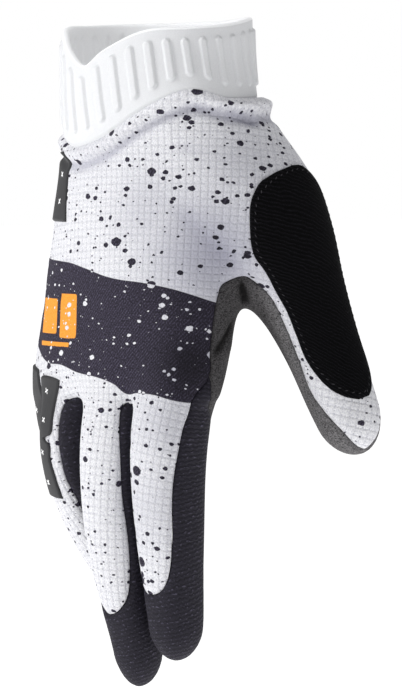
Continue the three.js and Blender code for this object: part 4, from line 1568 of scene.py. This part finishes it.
mesh = pieces["cuff"].data
height = np.array([v.co.z for v in mesh.vertices]) / MM
turns = np.tile(ring_angles, count)
top_z = rim_z(turns) - rib_top_inset
foot_z = seam_z(turns) + rib_foot_inset
middle_ring = rings[cuff_up // 2]
girth = np.linalg.norm(np.roll(middle_ring, -1, 0) - middle_ring, axis=1).sum()
store(mesh, {
    "rib_share": np.clip((top_z - height) / (top_z - foot_z), 0, 1),
    "rib_past": np.maximum(height - top_z, foot_z - height),
    "girth": np.full(len(turns), girth),
    "outward": np.where(is_lining, lining_push, 1.0),
})
pieces["cuff"] = run_tree(
    pieces["cuff"], tree, {**rib_sizes, "Material": cuff_rubber}, "cuff_rubber")

# %% Stitches: one short round bar, set along a row
stitch_sizes = {"Length": 1.15, "Thickness": 0.26, "Slant": 28.0}
stitch_tree, given = new_tree("stitches", stitch_sizes)
bar = node(stitch_tree, "GeometryNodeMeshUVSphere", {
    "Segments": 8, "Rings": 5, "Radius": 0.5 * MM})
size = node(stitch_tree, "ShaderNodeCombineXYZ", {
    "X": given["Length"], "Y": given["Thickness"], "Z": given["Thickness"]})


def facing(tree):
    """Turn that points X along a row and Z away from the cloth."""
    first = node(tree, "FunctionNodeAlignRotationToVector", {
        "Vector": named(tree, "out", "FLOAT_VECTOR")}, axis="Z")
    return node(tree, "FunctionNodeAlignRotationToVector", {
        "Rotation": first.outputs["Rotation"], "Vector": named(tree, "along", "FLOAT_VECTOR")},
        axis="X", pivot_axis="Z").outputs["Rotation"]


def set_on_points(tree, given, solid, rotation, **more):
    placed = node(tree, "GeometryNodeInstanceOnPoints", {
        "Points": given["Geometry"], "Instance": solid, "Rotation": rotation, **more})
    close_tree(tree, placed.outputs["Instances"], given)


slant = node(stitch_tree, "FunctionNodeAxisAngleToRotation", {
    "Axis": (0, 0, 1), "Angle": given["Slant"].math("RADIANS")})
both = node(stitch_tree, "FunctionNodeRotateRotation", {
    "Rotation": facing(stitch_tree), "Rotate By": slant.outputs["Rotation"]},
    rotation_space="LOCAL")
set_on_points(stitch_tree, given, bar.outputs["Mesh"], both.outputs["Rotation"],
              Scale=size.outputs["Vector"])


def row_along(path, pitch, ahead=0.4):
    """Evenly spaced places along a closed path, and the way it runs there."""
    path = np.vstack([path, path[:1]])
    lengths = np.r_[0, np.cumsum(np.linalg.norm(np.diff(path, axis=0), axis=1))]
    number = int(lengths[-1] / pitch)
    at = (np.arange(number) + 0.5) * lengths[-1] / number
    spots, next_spots = (
        np.stack([np.interp(place, lengths, path[:, k]) for k in range(3)], 1)
        for place in (at, (at + ahead) % lengths[-1]))
    return spots, unit(next_spots - spots)


# %% [markdown]
# The patch is held down by a row of small grey stitches, 1.7 mm inside its edge. The row
# follows the patch's smoothed edge, moved that far inward.

# %% Stitches round the thumb patch
stitch_inset, stitch_pitch = 1.7, 2.3
stitch_bite = 0.02  # mm that the thread lies in the pile
edge_loop = patch_grid["points"][patch_grid["edge"]]
smooth = edge_loop
for _ in range(6):
    smooth = (np.roll(smooth, 1, 0) + 2 * smooth + np.roll(smooth, -1, 0)) / 4
run = np.roll(smooth, -1, 0) - np.roll(smooth, 1, 0)
inward = unit(np.cross(outward_normals(smooth), run))
inward *= np.sign((inward * (edge_loop.mean(0) - smooth)).sum(1).mean())
spots, along = row_along(settle(smooth + inward * stitch_inset, 3), stitch_pitch)
out = outward_normals(spots)
spots += out * (relief(spots) + sewn_lift + patch_thickness - stitch_bite)[:, None]
patch_stitches = run_tree(
    make_object("row", spots, [], {"along": along, "out": out}), stitch_tree,
    {**stitch_sizes, "Material": seam_thread}, "patch_stitches")

# %% Cross marks on the pads: two thin bars across each other
cross_sizes = {"Arm": 2.1, "Thickness": 0.4, "Height": 0.14}
cross_tree, given = new_tree("cross_marks", cross_sizes)
cross = node(cross_tree, "GeometryNodeJoinGeometry")
for angle in (50.0, 130.0):
    size = node(cross_tree, "ShaderNodeCombineXYZ", {
        "X": given["Arm"] * MM, "Y": given["Thickness"] * MM, "Z": given["Height"] * MM})
    bar = node(cross_tree, "GeometryNodeMeshCube", {"Size": size.outputs["Vector"]})
    turned = node(cross_tree, "GeometryNodeTransform", {
        "Geometry": bar.outputs["Mesh"], "Rotation": (0, 0, math.radians(angle))})
    plug(cross.inputs["Geometry"], turned.outputs["Geometry"])
set_on_points(cross_tree, given, cross.outputs["Geometry"], facing(cross_tree))

mark_lift = 0.03  # mm above the pad's face
mark_rows = {
    # where each mark sits: share of the pad's length, share of its width
    "back_pad": [(0.34, 0.75), (0.72, 0.78)],
    "ring_pad": [(0.15, 0.62), (0.38, 0.68), (0.62, 0.74), (0.87, 0.68)],
    "little_pad": [(0.62, 0.66)],
}
spots, along, out = [], [], []
for name, rows in mark_rows.items():
    grid = pads[name]
    n, m = grid["shape"]
    for down, side in rows:
        k = int(down * (n - 1)) * m + int(side * (m - 1))
        spots.append(grid["top"][k] + grid["normal"][k] * mark_lift)
        out.append(grid["normal"][k])
        along.append(grid["top"][k + m] - grid["top"][k])
cross_marks = run_tree(
    make_object("marks", spots, [], {"along": along, "out": out}), cross_tree,
    {**cross_sizes, "Material": white_rubber}, "pad_cross_marks")

# %% Each piece is hung on the root body, and the imported part of the same name is hidden
for name, (slot, _) in cloths.items():
    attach(pieces[name], "root")
    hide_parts(name)
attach(patch_stitches, "root")
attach(cross_marks, "root")
